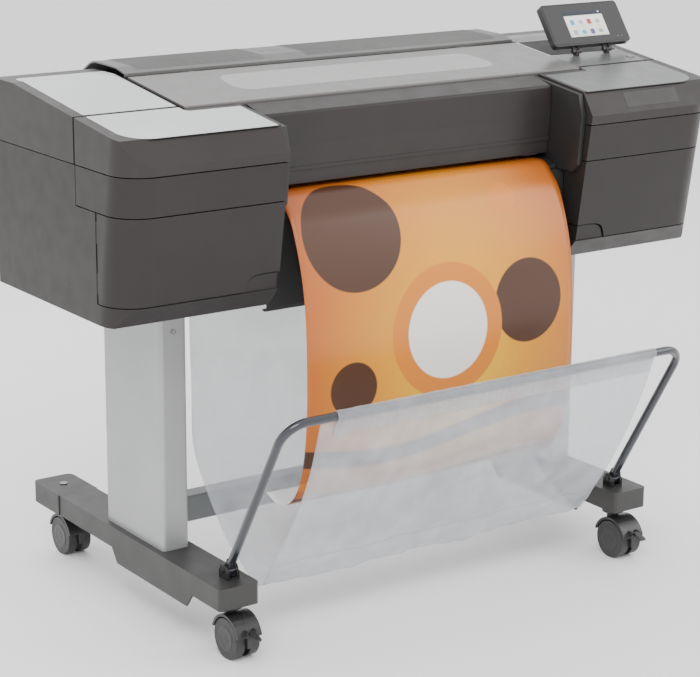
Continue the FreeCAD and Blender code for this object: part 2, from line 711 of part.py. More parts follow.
def rear_housing(window_knuckles, cover_knuckles):
    """Trough for the roll, open at the top, with a bored cheek at each end."""
    wall = SIZE.cover_wall
    front = bay_front_y + half_hinge - 2
    window_top = top_at(window_rear_y) + SIZE.window_raise
    wall_face = window_rear_y + half_hinge
    profile = [
        (bay_rear_y, bay_floor_z), (bay_rear_y, bay_rear_z - half_hinge),
        (bay_rear_y - wall, bay_rear_z - half_hinge), (bay_rear_y - wall, bay_floor_z + wall),
        (wall_face + wall, bay_floor_z + wall), (wall_face + wall, window_top),
        (wall_face, window_top), (wall_face, bay_floor_z),
    ]
    trough = extrude("roll_trough", "YZ_Plane", profile, -bay_half_x + 1, bay_half_x - 1)
    cheeks = []
    bores = []
    for side, sign in SIDES:
        x = side_span(sign, bay_half_x - 5, bay_half_x - 1)
        cheeks.append(box(f"bay_cheek_{side}", x, (wall_face, bay_rear_y - wall),
                          (bay_floor_z, bay_rear_z - half_hinge)))
        bores.append(cylinder(f"spindle_bore_{side}", "x", (x[0] - 1, roll_y, roll_z), 6,
                              SIZE.spindle_radius * 0.8 + SIZE.running))
    panel = box("lower_rear_panel", (-half_opening + 2, half_opening - 2),
                (SIZE.body_rear - wall, SIZE.body_rear), (pan_z + pan_rim, bay_floor_z + 1))
    housing = fuse("housing", trough, *cheeks, panel, *window_knuckles, *cover_knuckles)
    node("rear_housing", cut("housing_bored", housing, *bores))


def roll_and_spindle():
    """Spindle with its two flanges, and the paper roll between them."""
    journal = SIZE.spindle_radius * 0.8
    reach = bay_half_x - 1
    half_roll = SIZE.paper_width / 2
    shoulder = bay_half_x - 7
    shaft = cylinder("spindle_shaft", "x", (-shoulder, roll_y, roll_z), shoulder * 2,
                     SIZE.spindle_radius)
    ends = cylinder("spindle_ends", "x", (-reach, roll_y, roll_z), reach * 2, journal)
    flanges = []
    for side, sign in SIDES:
        x = side_span(sign, half_roll + 0.5, half_roll + 12)
        flanges.append(cylinder(f"flange_{side}", "x", (x[0], roll_y, roll_z), 11.5,
                                SIZE.hub_radius))
        x = side_span(sign, half_roll - 25, half_roll + 1)
        flanges.append(cylinder(f"hub_{side}", "x", (x[0], roll_y, roll_z), 26,
                                SIZE.core_radius - SIZE.slack))
    node("spindle", fuse("spindle_parts", shaft, ends, *flanges))
    roll = cylinder("roll_solid", "x", (-half_roll, roll_y, roll_z), half_roll * 2,
                    SIZE.roll_radius)
    core = cylinder("roll_core", "x", (-half_roll - 1, roll_y, roll_z), half_roll * 2 + 2,
                    SIZE.core_radius)
    node("paper_roll", cut("roll_ring", roll, core))


def front_covers():
    """Bar over the output slot, cover below it, and the plates at the ends of the opening."""
    wall = SIZE.cover_wall
    bar_rear = window_front_y - SIZE.hinge_seam
    bar_front = bar_rear - 55
    bar_top = top_at(bar_front) - 7
    crease = bar_top - 60
    foot = paper_z + 11
    outer = [(bar_rear, bar_top + 13), (bar_front, bar_top), (bar_front, crease),
             (bar_front + 7, foot)]
    inner = [(bar_front + 7 + wall, foot), (bar_front + wall, crease),
             (bar_front + wall, bar_top - wall * 0.8), (bar_rear, bar_top + 13 - wall)]
    half = half_opening - 14
    bar = extrude("bar_skin", "YZ_Plane", outer + inner, -half, half)
    round_corners(bar, "x", [outer[1]], 6)
    rib = box("cutter_rail", (-half, half), (bar_front + wall - 1, bar_front + 28),
              (paper_z + 36, paper_z + 42))
    node("front_bar_cover", fuse("bar_and_rail", bar, rib))

    face = brow_y + 77
    low = base_z - 17
    shelf = paper_z - 17
    profile = [
        (face + 33, shelf), (face + 4, shelf), (face, shelf - 8), (face, low + 8),
        (face + 6, low), (face + 16, low), (face + 16, low + wall), (face + 7, low + wall),
        (face + wall, low + 9), (face + wall, shelf - 9), (face + 5, shelf - wall),
        (face + 33, shelf - wall),
    ]
    node("lower_front_cover", extrude("lower_cover", "YZ_Plane", profile,
                                      -half_opening + 2, half_opening - 2))

    plates = []
    for side, sign in SIDES:
        profile = [
            (bar_rear, top_at(bar_rear) - 4), (slope_front_y, slope_front_z - 4),
            (brow_y + 17, brow_z - 2), (brow_y + 26, paper_z), (brow_y + 41, paper_z - 15),
            (bar_rear, paper_z - 15),
        ]
        x = side_span(sign, half_opening - 12, half_opening - 2)
        plates.append(extrude(f"plate_{side}", "YZ_Plane", profile, *x))
    node("end_plates", fuse("both_plates", *plates))


def platen():
    """Flat bed under the printheads, slotted for the feed roller, with a curved front lip."""
    half = half_opening - 13
    front = brow_y + 87
    profile = [
        (front, paper_z - 17), (front, paper_z - 8), (front + 28, paper_z),
        (feed_y + 40, paper_z), (feed_y + 40, paper_z - 8), (front + 28, paper_z - 8),
        (front + 14, paper_z - 17),
    ]
    bed = extrude("platen_bed", "YZ_Plane", profile, -half, half)
    slot = SIZE.paper_width / 2 + 3
    carve(bed, "XY_Plane", rectangle((-slot, slot), (feed_y - 14, feed_y + 14)),
          paper_z - 20, paper_z + 5)
    node("platen", bed)


def rollers():
    """Feed roller under the paper and pinch roller over it, in bores of the inner walls."""
    half = SIZE.paper_width / 2
    reach = half_opening + SIZE.cover_wall + 2
    for name, level, radius, shaft in (
            ("feed_roller", feed_z, SIZE.feed_radius, SIZE.roller_shaft),
            ("pinch_roller", pinch_z, SIZE.pinch_radius, SIZE.pinch_shaft)):
        drum = cylinder(name + "_drum", "x", (-half, feed_y, level), half * 2, radius)
        journal = cylinder(name + "_shaft", "x", (-reach, feed_y, level), reach * 2, shaft)
        node(name, fuse(name + "_turned", drum, journal))


def carriage_drive():
    """Rail, printhead carriage, toothed belt loop and its two pulleys."""
    half = SIZE.rail_length / 2
    rail_z = (paper_z + 40, paper_z + 70)
    post = SIZE.pulley_spread / 2
    belt_y = rail_front + 13
    rail = box("rail_bar", (-half, half), (rail_front, rail_rear), rail_z)
    posts = []
    for side, sign in SIDES:
        posts.append(cylinder(f"pulley_post_{side}", "z", (on_side(sign, post), belt_y,
                                                          belt_z - 4), 20, 2))
    idler = cylinder("idler_drum", "z", (-post, belt_y, belt_z - 3), 9, SIZE.pulley_radius)
    node("carriage_rail", fuse("rail_and_posts", rail, *posts, idler))

    drum = cylinder("pulley_drum", "z", (post, belt_y, belt_z - 3), 9, SIZE.pulley_radius)
    bore = cylinder("pulley_bore", "z", (post, belt_y, belt_z - 5), 13, 2 + SIZE.running)
    flat = box("pulley_mark", (post - 1, post + 1),
               (belt_y + SIZE.pulley_radius - 0.8, belt_y + SIZE.pulley_radius + 1),
               (belt_z + 4.5, belt_z + 7))
    node("drive_pulley", cut("pulley_cut", drum, bore, flat))

    def loop(name, radius, low, high):
        ends = [cylinder(f"{name}_{side}", "z", (on_side(sign, post), belt_y, low), high - low,
                         radius) for side, sign in SIDES]
        run = box(name + "_run", (-post, post), (belt_y - radius, belt_y + radius),
                  (low, high))
        return fuse(name, run, *ends)

    inside = SIZE.pulley_radius + 0.3
    belt = cut("belt_loop", loop("belt_outside", inside + 1.2, belt_z, belt_z + 4),
               loop("belt_inside", inside, belt_z - 1, belt_z + 5))
    node("drive_belt", belt)

    width = SIZE.carriage_width / 2
    x = (SIZE.carriage_park - width, SIZE.carriage_park + width)
    rear = rail_front - SIZE.slack
    block = extrude("carriage_block", "YZ_Plane", [
        (carriage_front + 10, paper_z + 4), (rear - 3, paper_z + 4), (rear - 3, paper_z + 38),
        (rear, paper_z + 42), (rear, paper_z + 70 + SIZE.slack),
        (rail_rear + 2, paper_z + 70 + SIZE.slack),
        (rail_rear + 2, paper_z + 75), (carriage_front, paper_z + 75),
        (carriage_front, paper_z + 30),
    ], *x)
    clamp = box("belt_clamp", (x[0] + 20, x[1] - 20),
                (rear - 5, belt_y - inside - 1.2 - SIZE.slack), (belt_z, belt_z + 4))
    node("printhead_carriage", fuse("carriage_parts", block, clamp))


def cutter():
    """Sheet cutter that runs on a rail behind the front bar."""
    bar_front = window_front_y - SIZE.hinge_seam - 55
    x = (SIZE.paper_width / 2 - 30, SIZE.paper_width / 2)
    y = (bar_front + SIZE.cover_wall + 9, bar_front + 42)
    block = box("cutter_block", x, y, (paper_z + 8, paper_z + 58))
    slot = box("cutter_slot", (x[0] - 1, x[1] + 1), (y[0] - 5, bar_front + 28 + SIZE.slack),
               (paper_z + 36 - SIZE.slack, paper_z + 42 + SIZE.slack))
    node("sheet_cutter", cut("cutter_grooved", block, slot))


# ---- controls and sockets ------------------------------------------------------------------------

screen_y = lid_split_y + 72
screen_pivot = (screen_y, top_at(screen_y) + 9)
button_x = SIZE.screen_centre + 68
button_y = screen_y - 40
button_radius = 7
rear_socket_z = base_z + 90
inlet_x = half_opening + 120
switch_x = inlet_x + 60


def screen_ears():
    """Two ears with a pin each for the control screen, and the hole for the power button."""
    ears = []
    for index, sign in enumerate((-1, 1)):
        middle = SIZE.screen_centre + 40 * sign
        x = (middle - 4, middle + 4)
        y, z = screen_pivot
        ears.append(box(f"screen_ear_{index}", x, (y - 5, y + 5), (z - 12, z)))
        ears.append(cylinder(f"screen_ear_round_{index}", "x", (x[0], y, z), 8, 5))
        ears.append(cylinder(f"screen_pin_{index}", "x", (x[0] - 6, y, z), 20, 2.5))
    hole = cylinder("button_hole", "z", (button_x, button_y, top_at(button_y) - 20), 40,
                    button_radius + SIZE.slack)
    return ears, [hole]


def control_screen():
    """Touch screen leaning back on a barrel that turns between and beside the two ears."""
    half = SIZE.screen_width / 2
    depth = SIZE.screen_depth
    gap = 7
    housing = extrude("screen_housing", "XZ_Plane",
                      rectangle((-half, half), (gap, gap + SIZE.screen_height)), -depth, 0)
    round_corners(housing, "y", [(-half, gap), (half, gap), (-half, gap + SIZE.screen_height),
                                 (half, gap + SIZE.screen_height)], 8)
    pieces = [housing]
    bores = []
    for index, sign in enumerate((-1, 1)):
        for spot, middle in (("in", 40 * sign - 7.5), ("out", 40 * sign + 7.5)):
            tag = f"screen_eye_{index}_{spot}"
            pieces.append(cylinder(tag, "x", (middle - 3, 0, 0), 6, 4.6))
            pieces.append(box(tag + "_arm", (middle - 3, middle + 3), (-4.6, 0),
                              (0, gap + 5)))
        bores.append(cylinder(f"screen_bore_{index}", "x", (40 * sign - 20, 0, 0), 40,
                              2.5 + SIZE.running))
    screen = cut("screen_bored", fuse("screen_parts", *pieces), *bores)
    turn = FreeCAD.Rotation(FreeCAD.Vector(1, 0, 0), -number(SIZE.screen_tilt))
    place(screen, SIZE.screen_centre, *screen_pivot, rotation=turn)
    screen.setExpression("Placement.Rotation.Angle", (-SIZE.screen_tilt).text)
    node("control_screen", screen)


def power_button():
    low = top_at(button_y) - 9
    stem = cylinder("button_stem", "z", (button_x, button_y, low), 11, button_radius)
    flange = cylinder("button_flange", "z", (button_x, button_y, low), 2.5,
                      button_radius + 2)
    node("power_button", fuse("button_parts", stem, flange))


def inlet_hole(name):
    return box(name, (inlet_x - 14, inlet_x + 14), (SIZE.body_rear - 10, SIZE.body_rear + 5),
               (rear_socket_z - 10, rear_socket_z + 10))


def switch_hole(name):
    return box(name, (switch_x - 10.5, switch_x + 10.5),
               (SIZE.body_rear - 10, SIZE.body_rear + 5),
               (rear_socket_z - 14.5, rear_socket_z + 14.5))


def rear_sockets():
    """Power inlet with its three pins, and the rocker switch beside it."""
    rear = SIZE.body_rear
    shell = box("inlet_shell", (inlet_x - 14, inlet_x + 14), (rear - 24, rear),
                (rear_socket_z - 10, rear_socket_z + 10))
    well = box("inlet_well", (inlet_x - 11.5, inlet_x + 11.5), (rear - 20, rear + 1),
               (rear_socket_z - 7.5, rear_socket_z + 7.5))
    pins = [box(f"inlet_pin_{index}", (inlet_x + offset - 1, inlet_x + offset + 1),
                (rear - 22, rear - 6), (rear_socket_z - 2 + rise, rear_socket_z + 2 + rise))
            for index, (offset, rise) in enumerate(((-7, -1), (0, 2), (7, -1)))]
    node("power_inlet", fuse("inlet_parts", cut("inlet_open", shell, well), *pins))

    pivot = (rear - 6, rear_socket_z)
    rocker = extrude("switch_rocker", "YZ_Plane", [
        (pivot[0] - 6, pivot[1] - 8), (pivot[0] + 5, pivot[1] - 12.5),
        (pivot[0] + 6.5, pivot[1] - 12), (pivot[0] + 5.5, pivot[1]),
        (pivot[0] + 6.5, pivot[1] + 12), (pivot[0] + 5, pivot[1] + 12.5),
        (pivot[0] - 6, pivot[1] + 8),
    ], switch_x - 10, switch_x + 10)
    node("power_switch", rocker)


# ---- stand ------------------------------------------------------------------------------------------

half_spread = SIZE.column_spread / 2
foot_low = SIZE.foot_top - SIZE.foot_height
belly_low = SIZE.foot_top - SIZE.foot_belly
cap_front_y = SIZE.foot_rear - SIZE.end_cap_length
column_y = (SIZE.column_centre - SIZE.column_depth / 2, SIZE.column_centre + SIZE.column_depth / 2)
swivel_front_y = SIZE.swivel_inset_front - SIZE.foot_front
swivel_rear_y = SIZE.foot_rear - SIZE.swivel_inset_rear
half_caster = SIZE.caster_spread / 2
pivot_z = SIZE.foot_top + SIZE.bar_pivot_rise


def columns_and_beam():
    """Two upright tubes with rounded edges, and the tube between them."""
    wall = SIZE.column_wall
    for side, sign in SIDES:
        x = side_span(sign, half_spread - SIZE.column_width / 2,
                      half_spread + SIZE.column_width / 2)
        tube = extrude(f"column_tube_{side}", "XY_Plane", rectangle(x, column_y),
                       SIZE.foot_top, base_z)
        corners = [(a, b) for a in x for b in column_y]
        round_corners(tube, "z", corners, 8)
        carve(tube, "XY_Plane", rectangle((x[0] + wall, x[1] - wall),
                                          (column_y[0] + wall + 3, column_y[1] - wall - 3)),
              SIZE.foot_top - 1, base_z + 1)
        node(f"stand_column_{side}", tube)
    reach = half_spread - SIZE.column_width / 2
    y = (SIZE.column_centre - SIZE.beam_depth / 2, SIZE.column_centre + SIZE.beam_depth / 2)
    z = (SIZE.beam_level, SIZE.beam_level + SIZE.beam_height)
    beam = extrude("beam_tube", "YZ_Plane", rectangle(y, z), -reach, reach)
    corners = [(a, b) for a in y for b in z]
    round_corners(beam, "x", corners, 4)
    carve(beam, "YZ_Plane", rectangle((y[0] + wall + 1, y[1] - wall - 1),
                                      (z[0] + wall + 1, z[1] - wall - 1)),
          -reach - 1, reach + 1)
    node("stand_crossbeam", beam)


def stem_socket(name, x, y):
    return cylinder(name, "z", (x, y, foot_low - 1), SIZE.stem_length + 2,
                    SIZE.stem_radius + SIZE.running)


def feet():
    """A long foot under each column: deep under the column, with a cap on its rear end."""
    caps = []
    half = SIZE.foot_width / 2
    half_cap = SIZE.end_cap_width / 2
    wall = 4
    for side, sign in SIDES:
        x = side_span(sign, half_spread - half, half_spread + half)
        outline = [
            (-SIZE.foot_front, foot_low), (-SIZE.foot_front, SIZE.foot_top),
            (cap_front_y, SIZE.foot_top), (cap_front_y, foot_low),
            (column_y[1] - 40, foot_low), (column_y[1] - 60, belly_low),
            (-SIZE.foot_front + 117, belly_low), (-SIZE.foot_front + 97, foot_low),
        ]
        foot = extrude(f"foot_{side}_body", "YZ_Plane", outline, *x)
        round_corners(foot, "z", [(a, -SIZE.foot_front) for a in x], 8)
        inner = rectangle((x[0] + wall, x[1] - wall),
                          (-SIZE.foot_front + 90, cap_front_y - 4))
        carve(foot, "XY_Plane", inner, belly_low - 1, SIZE.foot_top - wall)
        stem_x = on_side(sign, half_caster)
        socket = stem_socket(f"socket_front_{side}", stem_x, swivel_front_y)
        node(f"stand_foot_{side}", cut(f"foot_{side}_bored", foot, socket))
        cap_x = side_span(sign, half_spread - half_cap, half_spread + half_cap)
        cap = extrude(f"end_cap_{side}", "XY_Plane",
                      rectangle(cap_x, (cap_front_y, SIZE.foot_rear)), foot_low,
                      SIZE.foot_top)
        round_corners(cap, "z", [(a, SIZE.foot_rear) for a in cap_x], 14)
        socket = stem_socket(f"socket_rear_{side}", stem_x, swivel_rear_y)
        caps.append(cut(f"end_cap_{side}_bored", cap, socket))
    node("foot_end_caps", fuse("both_end_caps", *caps))


def stand_screws():
    """Recessed screw heads: one on each end cap and two high on the front of each column."""
    heads = []
    for side, sign in SIDES:
        x = on_side(sign, half_spread)
        heads.append(cylinder(f"cap_screw_{side}", "z",
                              (x, SIZE.foot_rear - 52, SIZE.foot_top), 2, 8))
        for index, drop in enumerate((30, 62)):
            heads.append(cylinder(f"column_screw_{side}_{index}", "y",
                                  (x, column_y[0] - 2, base_z - drop), 2, 5))
    node("stand_screws", fuse("all_screws", *heads))


def casters():
    """Four twin-wheel casters: stem and hood, wheel pair, and a brake lever on the front ones."""
    radius = SIZE.wheel_radius
    half_gap = SIZE.wheel_gap / 2
    outside = half_gap + SIZE.wheel_width
    hood_radius = radius + 8
    disc_z = foot_low - 4
    for end, swivel_y in (("front", swivel_front_y), ("rear", swivel_rear_y)):
        for side, sign in SIDES:
            tag = f"{end}_{side}"
            x = on_side(sign, half_caster)
            axle_y = swivel_y - SIZE.wheel_trail

            def across(label, half_length, size):
                return cylinder(f"{label}_{tag}", "x", (x - half_length, axle_y, radius),
                                half_length * 2, size)

            hood = cut(
                f"hood_{tag}", across("hood_disc", outside + 1, hood_radius),
                across("hood_inside", outside + 2, radius + 3),
                box(f"hood_low_{tag}", (x - 60, x + 60), (axle_y - 80, axle_y + 80),
                    (-30, radius + 12)))
            web = common(
                f"web_{tag}", across("web_disc", half_gap - 1, hood_radius - 1),
                box(f"web_high_{tag}", (x - 60, x + 60), (axle_y - 80, axle_y + 80),
                    (radius - 9, radius + 80)))
            neck = cylinder(f"neck_{tag}", "z", (x, swivel_y, radius + 28),
                            disc_z - radius - 28, 12)
            neck_clear = across("neck_clear", outside + 2, radius + 3)
            disc = cylinder(f"swivel_disc_{tag}", "z", (x, swivel_y, disc_z - 8), 8, 22)
            neck = cut(f"neck_open_{tag}", fuse(f"neck_and_disc_{tag}", neck, disc), neck_clear)
            stem = cylinder(f"stem_{tag}", "z", (x, swivel_y, disc_z - 4),
                            SIZE.stem_length + 4, SIZE.stem_radius)
            pieces = [hood, web, neck, stem]
            if end == "front":
                pivot = (axle_y - hood_radius - 3, radius + 22)
                for index, ear_x in enumerate((-9, 9)):
                    pieces.append(box(f"lever_ear_{tag}_{index}", (x + ear_x - 2, x + ear_x + 2),
                                      (pivot[0] - 3, axle_y - radius - 1),
                                      (pivot[1] - 4, pivot[1] + 4)))
            fork = fuse(f"fork_parts_{tag}", *pieces)
            bores = [across("axle_bore", half_gap + 2, SIZE.axle_radius + SIZE.running)]
            if end == "front":
                bores.append(cylinder(f"lever_bore_{tag}", "x",
                                      (x - 15, pivot[0], pivot[1]), 30, 1.5 + SIZE.running))
            node(f"caster_fork_{tag}", cut(f"fork_bored_{tag}", fork, *bores))

            wheels = [across("axle", outside - 1, SIZE.axle_radius)]
            for index, direction in enumerate((-1, 1)):
                low = x + half_gap if direction > 0 else x - outside
                wheels.append(cylinder(f"wheel_{tag}_{index}", "x", (low, axle_y, radius),
                                       SIZE.wheel_width, radius))
            node(f"caster_wheels_{tag}", fuse(f"wheel_pair_{tag}", *wheels))

            if end == "front":
                arm = extrude(f"lever_arm_{tag}", "YZ_Plane", [
                    (pivot[0] - 3, pivot[1] - 3), (pivot[0] + 2.6, pivot[1] - 3),
                    (pivot[0] + 2.6, pivot[1] + 3), (pivot[0] - 3, pivot[1] + 3),
                    (pivot[0] - 24, pivot[1] - 4), (pivot[0] - 24, pivot[1] - 8),
                ], x - 6, x + 6)
                pin = cylinder(f"lever_pin_{tag}", "x", (x - 11, pivot[0], pivot[1]), 22, 1.5)
                node(f"brake_lever_{side}", fuse(f"lever_{tag}", arm, pin))


def basket():
    """Bar with its brackets, the rail under the body, and the two panels of the basket."""
    half_bar = SIZE.bar_spread / 2
    radius = SIZE.bar_radius
    bend = SIZE.bar_bend
    length = SIZE.bar_length
    pieces = []
    bores = []
    quarter = {-1: FreeCAD.Rotation(FreeCAD.Vector(1, 0, 0), 90),
               1: FreeCAD.Rotation(FreeCAD.Vector(1, 0, 0), 90)}
    for side, sign in SIDES:
        x = on_side(sign, half_bar)
        pieces.append(cylinder(f"bar_leg_{side}", "z", (x, 0, 14), length - bend - 14, radius))
        elbow = document.addObject("Part::Torus", f"bar_elbow_{side}")
        bind(elbow, "Radius1", bend)
        bind(elbow, "Radius2", radius)
        elbow.Angle3 = 90
        turn = quarter[sign]
        if sign < 0:
            turn = FreeCAD.Rotation(FreeCAD.Vector(0, 0, 1), 180).multiply(turn)
        place(elbow, on_side(sign, half_bar - bend), 0, length - bend, rotation=turn)
        pieces.append(elbow)
        pieces.append(cylinder(f"bar_eye_{side}", "x", (x - 7, 0, 0), 14, SIZE.eye_radius))
        pieces.append(box(f"bar_tongue_{side}", (x - 7, x + 7), (-8, 8), (0, 20)))
        bores.append(cylinder(f"bar_bore_{side}", "x", (x - 20, 0, 0), 40,
                              SIZE.pivot_radius + SIZE.running))
    pieces.append(cylinder("bar_top", "x", (-half_bar + bend, 0, length), half_bar * 2 - bend * 2,
                           radius))
    bar = cut("bar_bored", fuse("bar_parts", *pieces), *bores)
    place(bar, 0, -SIZE.bar_pivot_y, pivot_z,
          rotation=FreeCAD.Rotation(FreeCAD.Vector(1, 0, 0), number(SIZE.bar_tilt)))
    bar.setExpression("Placement.Rotation.Angle", SIZE.bar_tilt.text)
    node("basket_bar", bar)

    brackets = []
    for side, sign in SIDES:
        x = on_side(sign, half_bar)
        y = -SIZE.bar_pivot_y
        block = box(f"bracket_block_{side}", (x - 13, x + 13), (y - 14, y + 14),
                    (SIZE.foot_top, pivot_z))
        crown = cylinder(f"bracket_crown_{side}", "x", (x - 13, y, pivot_z), 26, 11)
        slot = box(f"bracket_slot_{side}", (x - 7.6, x + 7.6), (y - 30, y + 30),
                   (SIZE.foot_top + 3, pivot_z + 30))
        pin = cylinder(f"bracket_pin_{side}", "x", (x - 15, y, pivot_z), 30,
                       SIZE.pivot_radius)
        clevis = cut(f"clevis_{side}", fuse(f"bracket_body_{side}", block, crown), slot)
        brackets.append(fuse(f"bracket_{side}", clevis, pin))
    node("basket_brackets", fuse("both_brackets", *brackets))

    half = SIZE.basket_width / 2
    rail_y = SIZE.column_centre - 29
    rail_z = base_z - 12
    rod = cylinder("hanging_rod", "x", (-half - 5, rail_y, rail_z), half * 2 + 10, 6)
    hangers = [box(f"rod_hanger_{side}", side_span(sign, half_opening - 30, half_opening - 18),
                   (rail_y - 5, rail_y + 5), (rail_z, pan_z)) for side, sign in SIDES]
    node("basket_rail", fuse("rail_and_hangers", rod, *hangers))


def ribbon(points, thickness, low, high):
    """A sheet of even thickness that follows a smooth line in the YZ plane."""
    path = [FreeCAD.Vector(0, number(y), number(z)) for y, z in points]
    curve = Part.BSplineCurve()
    curve.interpolate(path)
    steps = 24
    face, back = [], []
    for step in range(steps + 1):
        at = curve.FirstParameter + (curve.LastParameter - curve.FirstParameter) * step / steps
        tangent = curve.tangent(at)[0]
        across = FreeCAD.Vector(0, -tangent.z, tangent.y)
        face.append(curve.value(at))
        back.append(curve.value(at) + across * number(thickness))
    edges = []
    for line in (face, back):
        side = Part.BSplineCurve()
        side.interpolate(line)
        edges.append(side.toShape())
    edges.append(Part.LineSegment(face[0], back[0]).toShape())
    edges.append(Part.LineSegment(face[-1], back[-1]).toShape())
    outline = Part.Face(Part.Wire(Part.__sortEdges__(edges)))
    outline.translate(FreeCAD.Vector(number(low), 0, 0))
    return outline.extrude(FreeCAD.Vector(number(high) - number(low), 0, 0))


def soft_node(name, shape):
    item = document.addObject("Part::Feature", name + "_sheet")
    item.Shape = shape
    item.Placement = FreeCAD.Placement()
    node(name, item)


def basket_fabric():
    """Rear panel from the hanging rod to the fold, and front panel from the fold to the bar."""
    half = SIZE.basket_width / 2
    rail_y = SIZE.column_centre - 29
    top = base_z - 20
    fold_y = 26 - SIZE.bar_pivot_y
    fold_z = SIZE.foot_top - 42
    pivot_y = -SIZE.bar_pivot_y
    rear = [(rail_y, top), (rail_y - 2, top - 150), (rail_y - 6, top - 278),
            (rail_y - 40, fold_z + 145), (rail_y - 78, fold_z + 88), (rail_y - 130, fold_z + 38),
            (fold_y, fold_z), (pivot_y - 10, pivot_z - 27), (pivot_y - 25, pivot_z - 3)]
    soft_node("basket_fabric_rear", ribbon(rear, SIZE.fabric, -half, half))
    lean = FreeCAD.Rotation(FreeCAD.Vector(1, 0, 0), number(SIZE.bar_tilt))
    reach = number(SIZE.bar_length - SIZE.bar_radius) - 1
    tip = lean.multVec(FreeCAD.Vector(0, 0, reach))
    tip_y = -SIZE.bar_pivot_y + tip.y
    tip_z = pivot_z + tip.z
    front = [(pivot_y - 30, pivot_z + 5), (pivot_y - 52, pivot_z + 38),
             (pivot_y - 106, pivot_z + 124), (pivot_y - 150, pivot_z + 214), (tip_y, tip_z)]
    soft_node("basket_fabric_front", ribbon(front, SIZE.fabric, -half, half))


def printed_sheet():
    """The printed sheet: over the platen, down in front, and curled back into the basket."""
    half = SIZE.paper_width / 2
    level = paper_z + 1.1
    front = brow_y + 87
    path = [
        (feed_y - 20, level), (feed_y - 70, level), (front + 30, level + 0.6),
        (front + 8, level - 1.4), (front - 10, paper_z - 14), (front - 44, paper_z - 58),
        (front - 80, paper_z - 170), (front - 92, paper_z - 330),
        (front - 86, paper_z - 440), (front - 68, paper_z - 515), (front - 38, paper_z - 560),
        (front + 5, paper_z - 578), (front + 48, paper_z - 566),
    ]
    soft_node("printed_sheet", ribbon(path, SIZE.paper_thickness, -half, half))


# ---- build, check and write ----------------------------------------------------------------------

def build():
    base_pan()
    cartridges()
    for side, sign in SIDES:
        module_covers(side, sign)
    rear_housing(window(), roll_cover())
    roll_and_spindle()
    front_covers()
    platen()
    rollers()
    carriage_drive()
    cutter()
    control_screen()
    power_button()
    rear_sockets()
    columns_and_beam()
    feet()
    stand_screws()
    casters()
    basket()
    basket_fabric()
    printed_sheet()
    document.recompute()


def check():
    for item in document.Objects:
        if "Invalid" in item.State or "Error" in item.State:
            raise RuntimeError(f"{item.Label} failed: {item.State}")
    for name, item in NODES.items():
        if item.Shape.isNull() or not item.Shape.isValid() or not item.Shape.Solids:
            raise RuntimeError(f"{name} has no valid solid")


def write():
    os.makedirs("parts", exist_ok=True)
    for name, item in NODES.items():
        item.Shape.exportStep(f"parts/{name}.step")
        print(f"{name}: {len(item.Shape.Solids)} solid(s), {item.Shape.Volume / 1000:.1f} cm3")
    print(len(NODES), "nodes")


build()
check()
write()
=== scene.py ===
"""Large format plotter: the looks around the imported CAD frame. Metres, the CAD's own frame."""
import math

import bmesh
import bpy
from mathutils import Matrix, Vector, noise
from mathutils.bvhtree import BVHTree


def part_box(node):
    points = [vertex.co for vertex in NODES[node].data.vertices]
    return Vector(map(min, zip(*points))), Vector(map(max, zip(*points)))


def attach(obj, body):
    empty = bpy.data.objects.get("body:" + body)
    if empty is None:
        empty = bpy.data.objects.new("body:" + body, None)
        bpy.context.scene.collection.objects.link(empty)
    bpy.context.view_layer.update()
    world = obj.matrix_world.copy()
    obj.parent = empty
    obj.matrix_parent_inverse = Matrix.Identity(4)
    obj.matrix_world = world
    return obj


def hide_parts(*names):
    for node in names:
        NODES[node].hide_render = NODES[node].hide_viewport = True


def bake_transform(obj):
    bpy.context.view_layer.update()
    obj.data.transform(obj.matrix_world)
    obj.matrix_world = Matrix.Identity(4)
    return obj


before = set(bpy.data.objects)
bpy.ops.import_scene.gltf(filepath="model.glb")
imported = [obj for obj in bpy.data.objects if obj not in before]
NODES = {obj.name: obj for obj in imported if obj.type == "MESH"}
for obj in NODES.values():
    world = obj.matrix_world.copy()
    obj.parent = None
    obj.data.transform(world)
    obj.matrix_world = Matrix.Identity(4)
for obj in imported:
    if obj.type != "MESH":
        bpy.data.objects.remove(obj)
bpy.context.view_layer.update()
SIDES = (("left", -1.0), ("right", 1.0))
MM = 0.001


# ---- shader building blocks --------------------------------------------------------------------

